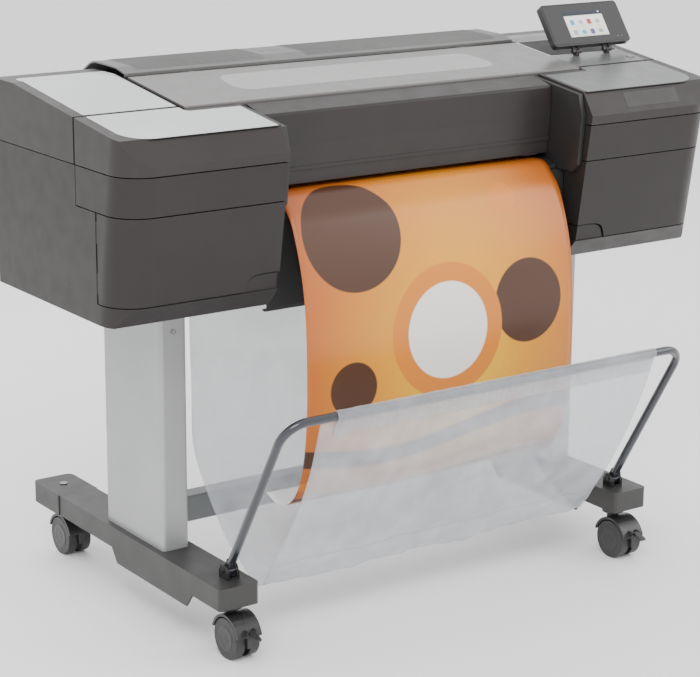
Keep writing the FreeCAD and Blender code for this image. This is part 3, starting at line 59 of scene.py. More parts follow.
class Shade:
    """A Principled material and short ways to add nodes to it."""

    def __init__(self, name, colour, roughness, metallic=0.0, **sockets):
        self.material = bpy.data.materials.new(name)
        self.material.use_nodes = True
        self.tree = self.material.node_tree
        self.bsdf = self.tree.nodes["Principled BSDF"]
        self.colour = colour
        self.bsdf.inputs["Base Color"].default_value = (*colour, 1)
        self.bsdf.inputs["Roughness"].default_value = roughness
        self.bsdf.inputs["Metallic"].default_value = metallic
        for key, value in sockets.items():
            self.bsdf.inputs[key.replace("_", " ")].default_value = value
        self.roughness = roughness
        self.coordinates = self.tree.nodes.new("ShaderNodeTexCoord")
        self.normal = None

    def add(self, kind, values=None, **properties):
        made = self.tree.nodes.new(kind)
        for key, value in properties.items():
            setattr(made, key, value)
        for key, value in (values or {}).items():
            if isinstance(value, bpy.types.NodeSocket):
                self.tree.links.new(value, made.inputs[key])
            else:
                made.inputs[key].default_value = value
        return made

    def link(self, source, name):
        self.tree.links.new(source, self.bsdf.inputs[name])

    def place(self, stretch=(1, 1, 1), source="Object"):
        """Coordinates, scaled per axis."""
        return self.add("ShaderNodeMapping", {
            "Vector": self.coordinates.outputs[source], "Scale": stretch}).outputs["Vector"]

    def noise(self, scale, detail=2.0, stretch=(1, 1, 1), roughness=0.5):
        return self.add("ShaderNodeTexNoise", {
            "Vector": self.place(stretch), "Scale": scale, "Detail": detail,
            "Roughness": roughness}).outputs["Fac"]

    def ramp(self, factor, stops):
        """A colour ramp from (position, colour) stops."""
        made = self.add("ShaderNodeValToRGB", {"Fac": factor})
        while len(made.color_ramp.elements) < len(stops):
            made.color_ramp.elements.new(0.5)
        for element, (position, colour) in zip(made.color_ramp.elements, stops):
            element.position = position
            element.color = (*colour, 1)
        return made.outputs["Color"]

    def mix(self, factor, first, second):
        made = self.add("ShaderNodeMix", data_type="RGBA")
        for index, value in ((0, factor), (6, first), (7, second)):
            if isinstance(value, bpy.types.NodeSocket):
                self.tree.links.new(value, made.inputs[index])
            else:
                made.inputs[index].default_value = value if index == 0 else (*value, 1)
        return made.outputs[2]

    def range(self, value, low, high, to_low, to_high):
        return self.add("ShaderNodeMapRange", {
            "Value": value, "From Min": low, "From Max": high,
            "To Min": to_low, "To Max": to_high}).outputs["Result"]

    def tint(self, spread, scale, stretch=(1, 1, 1)):
        """Slow colour variation about the base colour."""
        low = tuple(c * (1 - spread) for c in self.colour)
        high = tuple(min(1, c * (1 + spread)) for c in self.colour)
        self.link(self.ramp(self.noise(scale, 3, stretch), [(0.3, low), (0.7, high)]),
                  "Base Color")
        return self

    def vary_roughness(self, spread, scale, stretch=(1, 1, 1)):
        self.link(self.range(self.noise(scale, 4, stretch), 0.3, 0.7,
                             max(0.02, self.roughness - spread), self.roughness + spread),
                  "Roughness")
        return self

    def edges(self, radius):
        """Softens hard edges, so that they catch the light as moulded ones do."""
        self.normal = self.add("ShaderNodeBevel", {"Radius": radius}, samples=4).outputs[0]
        self.link(self.normal, "Normal")
        return self

    def bump(self, height, distance, strength=1.0):
        made = self.add("ShaderNodeBump", {
            "Height": height, "Distance": distance, "Strength": strength})
        if self.normal:
            self.tree.links.new(self.normal, made.inputs["Normal"])
        self.normal = made.outputs["Normal"]
        self.link(self.normal, "Normal")
        return self

    def wear(self, radius, light, amount):
        """Lighter colour where a rounded edge rubs."""
        soft = self.add("ShaderNodeBevel", {"Radius": radius}, samples=4).outputs[0]
        geometry = self.add("ShaderNodeNewGeometry").outputs["Normal"]
        facing = self.add("ShaderNodeVectorMath", {0: soft, 1: geometry},
                          operation="DOT_PRODUCT").outputs["Value"]
        mask = self.range(facing, 0.8, 0.995, amount, 0.0)
        source = self.bsdf.inputs["Base Color"]
        first = source.links[0].from_socket if source.links else self.colour
        self.link(self.mix(mask, first, light), "Base Color")
        return self


def moulded(name, colour, roughness=0.42, grain=0.00004, scale=1400.0, edge=0.0014, **more):
    """Fine-grained moulded plastic with soft, slightly rubbed edges."""
    shade = Shade(name, colour, roughness, **more)
    shade.tint(0.07, 5.0).wear(edge, tuple(min(1, c * 1.7 + 0.012) for c in colour), 0.7)
    shade.vary_roughness(0.05, 30.0).edges(edge)
    return shade.bump(shade.noise(scale, 2), grain)


def painted(name, colour, roughness=0.38, edge=0.0012, **more):
    """Powder or wet paint on sheet metal: faint orange peel and rubbed edges."""
    shade = Shade(name, colour, roughness, **more)
    shade.tint(0.05, 4.0).wear(edge, tuple(min(1, c * 1.35 + 0.02) for c in colour), 0.6)
    shade.vary_roughness(0.06, 18.0).edges(edge)
    return shade.bump(shade.noise(420.0, 3), 0.00005)


def brushed(name, colour, roughness, stretch):
    """Drawn or brushed metal, streaked along one axis."""
    shade = Shade(name, colour, roughness, 1.0)
    streak = shade.noise(60.0, 5, stretch, 0.7)
    shade.link(shade.range(streak, 0.3, 0.7, roughness - 0.08, roughness + 0.12), "Roughness")
    shade.edges(0.0006)
    return shade.bump(streak, 0.00003)


class Field:
    """A number over the surface, built from Math nodes with ordinary operators."""

    def __init__(self, shade, socket):
        self.shade = shade
        self.socket = socket

    def op(self, operation, other=0.0, third=0.0):
        made = self.shade.add("ShaderNodeMath", operation=operation)
        for index, value in enumerate((self, other, third)):
            if isinstance(value, Field):
                self.shade.tree.links.new(value.socket, made.inputs[index])
            else:
                made.inputs[index].default_value = value
        return Field(self.shade, made.outputs[0])

    def __add__(self, other):
        return self.op("ADD", other)

    def __sub__(self, other):
        return self.op("SUBTRACT", other)

    def __mul__(self, other):
        return self.op("MULTIPLY", other)

    def size(self):
        return self.op("ABSOLUTE")

    def least(self, other):
        return self.op("MINIMUM", other)

    def most(self, other):
        return self.op("MAXIMUM", other)

    def inside(self, soft=0.0012):
        """1 where the distance is negative, 0 outside, with a soft border."""
        value = self.shade.range(self.socket, -soft, soft, 1.0, 0.0)
        return Field(self.shade, value)


def surface_fields(shade, layer):
    """The two coordinates of a UV layer, as fields."""
    source = shade.add("ShaderNodeUVMap", uv_map=layer).outputs["UV"]
    parts = shade.add("ShaderNodeSeparateXYZ", {"Vector": source})
    return Field(shade, parts.outputs["X"]), Field(shade, parts.outputs["Y"])


def disc(x, y, cx, cy, radius, squeeze=1.0):
    dx = (x - cx) * squeeze
    dy = y - cy
    return (dx * dx + dy * dy).op("SQRT") - radius


def bar(x, y, cx, cy, half_x, half_y, turn=0.0, corner=0.0):
    """Distance to a turned, round-cornered rectangle."""
    c, s = math.cos(turn), math.sin(turn)
    dx = x - cx
    dy = y - cy
    across = (dx * c + dy * s).size() - (half_x - corner)
    along = (dy * c - dx * s).size() - (half_y - corner)
    outside = across.most(0.0)
    above = along.most(0.0)
    far = (outside * outside + above * above).op("SQRT")
    return far + across.most(along).least(0.0) - corner


# ---- materials ---------------------------------------------------------------------------------

BODY = (0.021, 0.018, 0.017)
housing = moulded("housing", BODY, 0.40, Specular_IOR_Level=0.3)
lid_skin = moulded("lid_skin", (0.028, 0.024, 0.023), 0.38, Specular_IOR_Level=0.3)
bar_skin = moulded("bar_skin", (0.026, 0.023, 0.022), 0.36, Specular_IOR_Level=0.3, grain=0.00002)
rear_skin = moulded("rear_skin", (0.026, 0.023, 0.022), 0.45, Specular_IOR_Level=0.3)
inner_skin = moulded("inner_skin", (0.016, 0.015, 0.015), 0.5)
window_skin = moulded("window_skin", (0.115, 0.106, 0.103), 0.30, grain=0.00001, edge=0.0003,
                      Coat_Weight=0.35, Coat_Roughness=0.22)
window_inset_skin = moulded("window_inset_skin", (0.27, 0.255, 0.25), 0.26, grain=0.00001,
                            Coat_Weight=0.4, Coat_Roughness=0.18)
roll_cover_skin = moulded("roll_cover_skin", (0.12, 0.118, 0.116), 0.42)
# One satin silver inlay finish in two copies: a lighter one with a painted reflection of bright
# surroundings, and a darker one with painted shade.
inlay_painted_lit = moulded("inlay_painted_lit", (0.56, 0.575, 0.585), 0.33, grain=0.000015,
                      edge=0.0008, Coat_Weight=0.25, Coat_Roughness=0.25)
inlay_painted_shaded = moulded("inlay_painted_shaded", (0.105, 0.108, 0.110), 0.33, grain=0.000015,
                     edge=0.0008, Coat_Weight=0.25, Coat_Roughness=0.25)
gap_black = moulded("gap_black", (0.006, 0.006, 0.006), 0.6)
label_skin = moulded("label_skin", (0.020, 0.018, 0.017), 0.4)
tray_paint = painted("tray_paint", (0.03, 0.03, 0.03))
cartridge_skin = moulded("cartridge_skin", (0.018, 0.018, 0.02), 0.3)
carriage_skin = moulded("carriage_skin", (0.022, 0.022, 0.024), 0.4)
cutter_skin = moulded("cutter_skin", (0.06, 0.06, 0.065), 0.4)
socket_skin = moulded("socket_skin", (0.014, 0.014, 0.014), 0.34)
spindle_skin = moulded("spindle_skin", (0.02, 0.02, 0.022), 0.35)
pinch_skin = moulded("pinch_skin", (0.6, 0.6, 0.58), 0.35)
button_skin = moulded("button_skin", (0.22, 0.225, 0.23), 0.3, edge=0.0006)
rail_metal = brushed("rail_metal", (0.62, 0.63, 0.64), 0.3, (0.02, 1, 1))
pulley_metal = brushed("pulley_metal", (0.55, 0.55, 0.55), 0.28, (1, 1, 0.05))
screw_metal = brushed("screw_metal", (0.32, 0.32, 0.33), 0.3, (1, 1, 1))
column_paint = painted("column_paint", (0.37, 0.375, 0.38), 0.36, Metallic=0.35)
beam_paint = painted("beam_paint", (0.16, 0.168, 0.17), 0.4)
foot_paint = painted("foot_paint", (0.030, 0.029, 0.028), 0.42)
cap_skin = moulded("cap_skin", (0.026, 0.025, 0.024), 0.4)
fork_skin = moulded("fork_skin", (0.022, 0.022, 0.022), 0.3, grain=0.00002)
bar_paint = painted("bar_paint", (0.022, 0.025, 0.032), 0.16, Coat_Weight=0.8,
                    Coat_Roughness=0.06, Metallic=0.3)
bracket_skin = moulded("bracket_skin", (0.014, 0.013, 0.013), 0.22, grain=0.00001)
glass_black = moulded("glass_black", (0.004, 0.004, 0.005), 0.06, grain=0.000002,
                      edge=0.0005, Coat_Weight=1.0, Coat_Roughness=0.03)


def make_rubber(name, colour, roughness, scale):
    shade = Shade(name, colour, roughness)
    shade.tint(0.15, 40.0).vary_roughness(0.08, 60.0).edges(0.0008)
    return shade.bump(shade.noise(scale, 4), 0.00006)


roller_rubber = make_rubber("roller_rubber", (0.03, 0.03, 0.03), 0.7, 900.0)
tread_rubber = make_rubber("tread_rubber", (0.020, 0.020, 0.020), 0.42, 500.0)


def make_belt():
    """Black belt with fine teeth across it."""
    shade = Shade("belt_rubber", (0.012, 0.012, 0.012), 0.6)
    teeth = shade.add("ShaderNodeTexWave", {"Vector": shade.place(), "Scale": 160.0},
                      bands_direction="X").outputs["Fac"]
    return shade.bump(teeth, 0.0004)


def make_roll_paper():
    """White paper roll, with the edges of its turns on the ends."""
    lo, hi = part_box("paper_roll")
    centre = (lo + hi) / 2
    shade = Shade("roll_paper", (0.86, 0.86, 0.84), 0.55)
    parts = shade.add("ShaderNodeSeparateXYZ", {"Vector": shade.coordinates.outputs["Object"]})
    y = Field(shade, parts.outputs["Y"]) - centre.y
    z = Field(shade, parts.outputs["Z"]) - centre.z
    turns = ((y * y + z * z).op("SQRT") * 5200.0).op("SINE")
    line = shade.range(turns.socket, -1.0, 1.0, 0.0, 1.0)
    shade.link(shade.ramp(line, [(0.0, (0.74, 0.74, 0.72)), (1.0, (0.87, 0.87, 0.85))]),
               "Base Color")
    return shade.bump(shade.noise(300.0, 5), 0.00004)


def make_mesh_fabric():
    """Pale open mesh: threads both ways, and see-through between them."""
    shade = Shade("mesh_fabric", (0.60, 0.63, 0.67), 0.6, Sheen_Weight=0.3)
    across, along = surface_fields(shade, "cloth")
    pitch = 2 * math.pi / 0.0016
    warp = (across * pitch).op("SINE") * 0.5 + 0.5
    weft = (along * pitch).op("SINE") * 0.5 + 0.5
    threads = warp.most(weft)
    uneven = shade.noise(16.0, 4)
    cover = Field(shade, shade.range(threads.socket, 0.35, 0.95, 0.14, 0.58))
    cover = cover + Field(shade, shade.range(uneven, 0.3, 0.7, -0.05, 0.05))
    shade.link(cover.socket, "Alpha")
    shade.link(shade.ramp(uneven, [(0.3, (0.53, 0.56, 0.61)), (0.7, (0.66, 0.69, 0.73))]),
               "Base Color")
    shade.bump((warp + weft).socket, 0.00018)
    return shade


def make_print():
    """A generic abstract print: a warm gradient with plain circles and soft bands."""
    shade = Shade("print_paper", (0.9, 0.5, 0.08), 0.34, Coat_Weight=0.15, Coat_Roughness=0.3)
    x, y = surface_fields(shade, "sheet")
    spread = ((x - 0.33) * 0.9).size()
    low = (y - 0.42).size() * 0.55
    glow = (spread * spread + low * low).op("SQRT")
    colour = shade.ramp(shade.range(glow.socket, 0.0, 0.36, 0.0, 1.0), [
        (0.0, (0.86, 0.55, 0.006)), (0.38, (0.74, 0.31, 0.006)), (0.8, (0.50, 0.13, 0.010)),
        (1.0, (0.40, 0.09, 0.014))])
    brown = (0.060, 0.018, 0.004)
    amber = (0.66, 0.20, 0.008)
    pale = (0.84, 0.82, 0.78)
    for cx, cy, radius, tone in ((0.12, 0.10, 0.105, brown), (0.47, 0.07, 0.030, amber),
                                 (0.50, 0.27, 0.080, brown), (0.31, 0.30, 0.125, amber),
                                 (0.31, 0.30, 0.090, pale), (0.10, 0.38, 0.050, brown)):
        colour = shade.mix(disc(x, y, cx, cy, radius).inside().socket, colour, tone)
    for level, swing, half, tone in ((0.50, 0.022, 0.017, brown), (0.56, 0.016, 0.010, amber),
                                     (0.60, 0.012, 0.006, brown)):
        middle = (x * 9.0).op("SINE") * swing + level
        band = (y - middle).size() - half
        colour = shade.mix(band.inside().socket, colour, tone)
    shade.link(colour, "Base Color")
    return shade.bump(shade.noise(500.0, 3), 0.00001)


def make_white_back():
    shade = Shade("paper_back", (0.86, 0.86, 0.85), 0.5)
    shade.tint(0.02, 20.0)
    return shade.bump(shade.noise(500.0, 4), 0.00002)


def make_display():
    """Touch display with plain coloured tiles on a pale ground, and a dark strip on top."""
    shade = Shade("display", (0.8, 0.8, 0.8), 0.12)
    x, y = surface_fields(shade, "face")
    colour = shade.ramp(y.socket, [(0.0, (0.70, 0.69, 0.66)), (0.8, (0.84, 0.83, 0.80)),
                                   (0.835, (0.02, 0.024, 0.035)), (1.0, (0.03, 0.035, 0.05))])
    tiles = ((0.16, 0.56, (0.03, 0.36, 0.66)), (0.38, 0.56, (0.42, 0.44, 0.47)),
             (0.60, 0.56, (0.42, 0.05, 0.07)), (0.82, 0.56, (0.40, 0.40, 0.40)),
             (0.16, 0.17, (0.35, 0.36, 0.40)), (0.38, 0.17, (0.02, 0.40, 0.55)),
             (0.60, 0.17, (0.10, 0.10, 0.22)), (0.82, 0.17, (0.30, 0.31, 0.33)))
    for index, (cx, cy, tone) in enumerate(tiles):
        shape = (bar(x, y, cx, cy, 0.055, 0.10, 0.0, 0.03) if index % 2 == 0
                 else disc(x, y, cx, cy, 0.085, 1.5))
        colour = shade.mix(shape.inside(0.012).socket, colour, tone)
        under = bar(x, y, cx, cy - 0.155, 0.045, 0.012)
        colour = shade.mix(under.inside(0.008).socket, colour, (0.5, 0.5, 0.5))
    colour = shade.mix(disc(x, y, 0.93, 0.92, 0.03, 1.6).inside(0.01).socket, colour,
                       (0.8, 0.82, 0.85))
    shade.link(colour, "Base Color")
    shade.link(colour, "Emission Color")
    shade.bsdf.inputs["Emission Strength"].default_value = 0.35
    return shade


SKINS = {
    "base_pan": tray_paint, "top_window": window_skin, "roll_cover": roll_cover_skin,
    "rear_housing": rear_skin, "spindle": spindle_skin, "paper_roll": make_roll_paper(),
    "front_bar_cover": bar_skin, "lower_front_cover": inner_skin, "end_plates": inner_skin,
    "platen": inner_skin, "feed_roller": roller_rubber, "pinch_roller": pinch_skin,
    "carriage_rail": rail_metal, "drive_pulley": pulley_metal, "drive_belt": make_belt(),
    "printhead_carriage": carriage_skin, "sheet_cutter": cutter_skin,
    "control_screen": fork_skin, "power_button": button_skin, "power_inlet": socket_skin,
    "power_switch": socket_skin, "stand_crossbeam": beam_paint, "foot_end_caps": cap_skin,
    "stand_screws": screw_metal, "basket_bar": bar_paint, "basket_brackets": bracket_skin,
    "basket_rail": rail_metal,
}
for side_name, _ in SIDES:
    for item in ("ink_door", "middle_band", "side_cover"):
        SKINS[f"{item}_{side_name}"] = housing
    for item in ("ink_lid", "rear_cap"):
        SKINS[f"{item}_{side_name}"] = lid_skin
    for index in (1, 2, 3):
        SKINS[f"ink_cartridge_{side_name}_{index}"] = cartridge_skin
    SKINS[f"stand_column_{side_name}"] = column_paint
    SKINS[f"stand_foot_{side_name}"] = foot_paint
    SKINS[f"brake_lever_{side_name}"] = fork_skin
    for end in ("front", "rear"):
        SKINS[f"caster_fork_{end}_{side_name}"] = fork_skin
        SKINS[f"caster_wheels_{end}_{side_name}"] = tread_rubber
for name, skin in SKINS.items():
    mesh = NODES[name].data
    if not mesh.materials:
        mesh.materials.append(None)
    for index in range(len(mesh.materials)):
        mesh.materials[index] = skin.material


# ---- mesh building blocks ----------------------------------------------------------------------

def piece(name, verts, faces, skin, body, smooth=True):
    """A mesh object that rides on a CAD body."""
    mesh = bpy.data.meshes.new(name)
    mesh.from_pydata([tuple(v) for v in verts], [], faces)
    mesh.validate()
    return dress(name, mesh, skin, body, smooth)


def dress(name, mesh, skin, body, smooth=True):
    mesh.materials.append(skin.material)
    mesh.polygons.foreach_set("use_smooth", [smooth] * len(mesh.polygons))
    made = bpy.data.objects.new(name, mesh)
    bpy.context.scene.collection.objects.link(made)
    if body:
        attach(made, body)
    return made


def rounded(points, radii, steps=6):
    """A polygon with each corner rounded to its own radius."""
    out = []
    count = len(points)
    for index, (point, radius) in enumerate(zip(points, radii)):
        p = Vector(point)
        a = Vector(points[index - 1]) - p
        b = Vector(points[(index + 1) % count]) - p
        if radius <= 0:
            out.append(tuple(p))
            continue
        a.normalize()
        b.normalize()
        half = a.angle(b) / 2
        reach = radius / math.tan(half)
        centre = p + (a + b).normalized() * (radius / math.sin(half))
        start = p + a * reach - centre
        end = p + b * reach - centre
        turn = start.angle_signed(end)
        for step in range(steps + 1):
            c = Matrix.Rotation(-turn * step / steps, 2) @ start
            out.append(tuple(centre + c))
    return out


def drawn_in(points, gap):
    """The outline moved inwards by a gap."""
    area = sum(a[0] * b[1] - b[0] * a[1] for a, b in zip(points, points[1:] + points[:1]))
    turn = 1 if area > 0 else -1
    out = []
    for index, point in enumerate(points):
        p = Vector(point)
        a = (p - Vector(points[index - 1])).normalized()
        b = (Vector(points[(index + 1) % len(points)]) - p).normalized()
        na = Vector((-a.y, a.x)) * turn
        nb = Vector((-b.y, b.x)) * turn
        n = (na + nb)
        n = n / max(0.3, n.length_squared / 2)
        out.append(tuple(p + n * gap))
    return out


def plate_mesh(name, outline, profile, creases=(), shape=None):
    """A plate from an outline in its own plane: profile is (inset, height) from edge to top."""
    bm = bmesh.new()
    rings = []
    for inset, height in profile:
        ring = drawn_in(outline, inset) if inset else outline
        rings.append([bm.verts.new((x, y, height)) for x, y in ring])
    for low, high in zip(rings, rings[1:]):
        for i in range(len(low)):
            j = (i + 1) % len(low)
            bm.faces.new((low[i], low[j], high[j], high[i]))
    bm.faces.new(rings[-1])
    bm.faces.new(list(reversed(rings[0])))
    bmesh.ops.recalc_face_normals(bm, faces=bm.faces)
    for y in creases:
        bmesh.ops.bisect_plane(bm, geom=bm.verts[:] + bm.edges[:] + bm.faces[:],
                               plane_co=(0, y, 0), plane_no=(0, 1, 0))
    if shape:
        for v in bm.verts:
            v.co = shape(v.co)
    bmesh.ops.triangulate(bm, faces=[f for f in bm.faces if len(f.verts) > 4])
    mesh = bpy.data.meshes.new(name)
    bm.to_mesh(mesh)
    bm.free()
    return mesh


def shell_tree(node):
    mesh = NODES[node].data
    return BVHTree.FromPolygons([v.co.copy() for v in mesh.vertices],
                                [tuple(p.vertices) for p in mesh.polygons])


def hit(tree, origin, direction):
    found = tree.ray_cast(Vector(origin), Vector(direction).normalized())
    return found[0]


def tube(path, radius, sides=14, closed_ends=True):
    """Vertices and faces of a tube along points, with a radius that may vary."""
    radii = radius if hasattr(radius, "__len__") else [radius] * len(path)
    verts, faces = [], []
    up = Vector((0.3, 0.5, 0.8))
    for index, point in enumerate(path):
        before = Vector(path[max(0, index - 1)])
        after = Vector(path[min(len(path) - 1, index + 1)])
        along = (after - before).normalized()
        first = along.cross(up).normalized()
        second = along.cross(first)
        for k in range(sides):
            a = 2 * math.pi * k / sides
            verts.append(Vector(point)
                         + (first * math.cos(a) + second * math.sin(a)) * radii[index])
    for ring in range(len(path) - 1):
        for k in range(sides):
            n = (k + 1) % sides
            faces.append((ring * sides + k, ring * sides + n,
                          (ring + 1) * sides + n, (ring + 1) * sides + k))
    if closed_ends:
        faces.append(tuple(reversed(range(sides))))
        faces.append(tuple(range((len(path) - 1) * sides, len(path) * sides)))
    return verts, faces


def gather(groups):
    """Several (verts, faces) lists as one."""
    verts, faces = [], []
    for some_verts, some_faces in groups:
        base = len(verts)
        verts += list(some_verts)
        faces += [tuple(base + i for i in face) for face in some_faces]
    return verts, faces


# ---- the body's top: inlays, window, roll cover ------------------------------------------------

LIFT = 0.7 * MM
top_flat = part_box("rear_cap_right")[1].z
lid_box = {side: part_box(f"ink_lid_{side}") for side, _ in SIDES}
lid_tree = shell_tree("ink_lid_left")
lid_mid = (lid_box["left"][0].x + lid_box["left"][1].x) / 2
slope_points = [hit(lid_tree, (lid_mid, y, 2), (0, 0, -1)) for y in (-0.21, -0.12)]
slope = (slope_points[1].z - slope_points[0].z) / (slope_points[1].y - slope_points[0].y)
crease_y = slope_points[0].y + (top_flat - slope_points[0].z) / slope


def top_at(y):
    """Height of the body's top at a depth."""
    return min(top_flat, slope_points[0].z + (y - slope_points[0].y) * slope)


def on_top(co):
    return Vector((co.x, co.y, top_at(co.y) + co.z))


SOFT_EDGE = ((0.0, -0.3 * MM), (0.0, 0.35 * LIFT), (0.5 * MM, 0.85 * LIFT), (1.2 * MM, LIFT))


def top_plate(name, outline, skin, body, lift=0.0):
    profile = [(inset, height + lift) for inset, height in SOFT_EDGE]
    mesh = plate_mesh(name, outline, profile, creases=(crease_y,), shape=on_top)
    return dress(name, mesh, skin, body, smooth=False)


def apply_modifiers(made):
    depsgraph = bpy.context.evaluated_depsgraph_get()
    final = bpy.data.meshes.new_from_object(made.evaluated_get(depsgraph))
    made.modifiers.clear()
    made.data = final


def open_for_button(plate):
    """Cuts a round opening through a plate, clear of the power button."""
    button_lo, button_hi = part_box("power_button")
    middle = (button_lo + button_hi) / 2
    radius = (button_hi.x - button_lo.x) / 2 + 0.6 * MM
    bm = bmesh.new()
    bmesh.ops.create_cone(bm, cap_ends=True, segments=48, radius1=radius, radius2=radius,
                          depth=0.04, matrix=Matrix.Translation(middle))
    mesh = bpy.data.meshes.new("button_cutter")
    bm.to_mesh(mesh)
    bm.free()
    cutter = bpy.data.objects.new("button_cutter", mesh)
    bpy.context.scene.collection.objects.link(cutter)
    opening = plate.modifiers.new("opening", "BOOLEAN")
    opening.operation = "DIFFERENCE"
    opening.solver = "EXACT"
    opening.object = cutter
    apply_modifiers(plate)
    bpy.data.objects.remove(cutter)


def mirrored(points, sign):
    out = [(x * sign, y) for x, y in points]
    return out if sign > 0 else list(reversed(out))


lid_rear = lid_box["left"][1].y - 0.0070
front_edge = -0.2395
window_side = -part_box("top_window")[0].x + 0.008
inner_side = -lid_box["left"][1].x + 0.006
outer_side = -lid_box["left"][0].x - 0.022
notch_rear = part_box("top_window")[0].y - 0.018
for side, sign in SIDES:
    # The left inlays take the copy with the painted reflection, the right ones the copy with
    # painted shade.
    skin = inlay_painted_lit if side == "left" else inlay_painted_shaded
    lid_outline = rounded(
        [(outer_side, lid_rear), (window_side, lid_rear), (window_side, notch_rear),
         (inner_side, notch_rear), (inner_side, front_edge), (outer_side, front_edge)],
        [0.0, 0.001, 0.012, 0.003, 0.002, 0.050], 8)
    cap_front = lid_box["left"][1].y + 0.0028
    cap_rear = 0.178
    cap_outline = rounded(
        [(outer_side, cap_front), (outer_side, cap_rear), (window_side, cap_rear),
         (window_side, cap_front)], [0.0, 0.012, 0.006, 0.001], 6)
    for name, outline, body in ((f"lid_inlay_{side}", lid_outline, f"ink_lid_{side}"),
                                (f"cap_inlay_{side}", cap_outline, "chassis")):
        shape = mirrored(outline, sign)
        plates = [top_plate(name, shape, skin, body),
                  top_plate(name + "_gap", drawn_in(shape, -1.3 * MM), gap_black, body,
                            -0.55 * MM)]
        if name == "cap_inlay_right":
            for plate in plates:
                open_for_button(plate)

window_tree = shell_tree("top_window")
window_points = [hit(window_tree, (0.0, y, 2), (0, 0, -1)) for y in (-0.06, 0.06)]
window_slope = ((window_points[1].z - window_points[0].z)
                / (window_points[1].y - window_points[0].y))


def on_window(co):
    base = window_points[0].z + (co.y - window_points[0].y) * window_slope
    return Vector((co.x, co.y, base + co.z))


inset_outline = rounded([(-0.300, -0.040), (0.300, -0.040), (0.285, 0.064), (-0.285, 0.064)],
                        [0.034, 0.034, 0.028, 0.028], 10)
dress("window_inset",
      plate_mesh("window_inset", inset_outline,
                 [(0.0, -0.3 * MM), (0.0, 0.1 * MM), (1.0 * MM, 0.45 * MM)], shape=on_window),
      window_inset_skin, "window", smooth=False)


def ribs(name, node, y_low, y_high, pitch, x_low, x_high, radius, skin, body):
    """Low ribs along X over a curved cover, following its surface."""
    tree = shell_tree(node)
    groups = []
    count = int((y_high - y_low) / pitch)
    middle = (x_low + x_high) / 2
    for index in range(count + 1):
        y = y_low + index * pitch
        points = []
        for shift in (-0.4 * pitch, 0.0, 0.4 * pitch):
            found = hit(tree, (middle, y + shift, 2), (0, 0, -1))
            points.append(found)
        if any(p is None for p in points):
            continue
        tangent = (points[2] - points[0]).normalized()
        normal = Vector((0, -tangent.z, tangent.y))
        section = []
        for k in range(7):
            a = math.pi * k / 6
            section.append(tangent * (math.cos(a) * radius * 1.5)
                           + normal * (math.sin(a) * radius - 0.2 * MM))
        verts, faces = [], []
        stops = [(x_low, 0.05), (x_low + 2.5 * radius, 1.0), (x_high - 2.5 * radius, 1.0),
                 (x_high, 0.05)]
        for x, grow in stops:
            for s in section:
                p = points[1] + Vector((0, s.y, s.z)) * grow
                verts.append((x, p.y, p.z))
        for ring in range(len(stops) - 1):
            for k in range(6):
                a = ring * 7 + k
                faces.append((a, a + 1, a + 8, a + 7))
        groups.append((verts, faces))
    verts, faces = gather(groups)
    return piece(name, verts, faces, skin, body)


cover_lo, cover_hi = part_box("roll_cover")
for name, low, high in (("roll_cover_ribs_left", cover_lo.x + 0.030, -0.135),
                        ("roll_cover_ribs_right", -0.045, cover_hi.x - 0.030)):
    ribs(name, "roll_cover", cover_lo.y + 0.016, cover_hi.y - 0.030, 0.0062, low, high,
         1.1 * MM, roll_cover_skin, "roll_cover")


# ---- front details -----------------------------------------------------------------------------

def facet_frame(node, x, z_low, z_high):
    """A point on a front facet, and the directions up it and out of it."""
    tree = shell_tree(node)
    low = hit(tree, (x, -1, z_low), (0, 1, 0))
    high = hit(tree, (x, -1, z_high), (0, 1, 0))
    up = (high - low).normalized()
    out = Vector((0, -up.z, up.y))
    return low, high, up, out


low, high, up, out = facet_frame("ink_lid_right", 0.5, 0.910, 0.934)
centre = (low + high) / 2
label = rounded([(-0.068, -0.0165), (0.068, -0.0165), (0.068, 0.0165), (-0.068, 0.0165)],
                [0.002] * 4, 4)


def on_facet(co):
    return Vector((centre.x + co.x, 0, 0)) + Vector((0, centre.y, centre.z)) + up * co.y \
        + out * co.z


dress("blank_label", plate_mesh("blank_label", label, [
    (0.0, -0.2 * MM), (0.0, 0.25 * MM), (0.4 * MM, 0.3 * MM), (0.7 * MM, 0.12 * MM)],
    shape=on_facet), label_skin, "ink_lid_right", smooth=False)


def dots(name, places, normal, radius, skin, body, depth=0.3 * MM):
    """Small round dimples or heads on a flat wall."""
    n = Vector(normal).normalized()
    a = n.orthogonal().normalized()
    b = n.cross(a)
    groups = []
    for place in places:
        rings = []
        verts = []
        for r, h in ((radius, -0.2 * MM), (radius, depth * 0.6), (radius * 0.75, depth),
                     (radius * 0.35, depth * 0.8)):
            rings.append(len(verts))
            for k in range(16):
                t = 2 * math.pi * k / 16
                verts.append(Vector(place) + a * math.cos(t) * r + b * math.sin(t) * r + n * h)
        faces = []
        for low_ring, high_ring in zip(rings, rings[1:]):
            for k in range(16):
                m = (k + 1) % 16
                faces.append((low_ring + k, low_ring + m, high_ring + m, high_ring + k))
        faces.append(tuple(range(rings[-1], rings[-1] + 16)))
        groups.append((verts, faces))
    verts, faces = gather(groups)
    return piece(name, verts, faces, skin, body)


plate_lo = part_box("end_plates")[0]
for side, sign in SIDES:
    wall_x = sign * (-plate_lo.x - 0.010)
    places = [(wall_x, -0.215 + 0.018 * k, 0.797 + 0.006 * (k % 2)) for k in range(4)]
    dots(f"wall_vents_{side}", places, (-sign, 0, 0), 1.6 * MM, gap_black, "chassis")


# ---- control screen ----------------------------------------------------------------------------

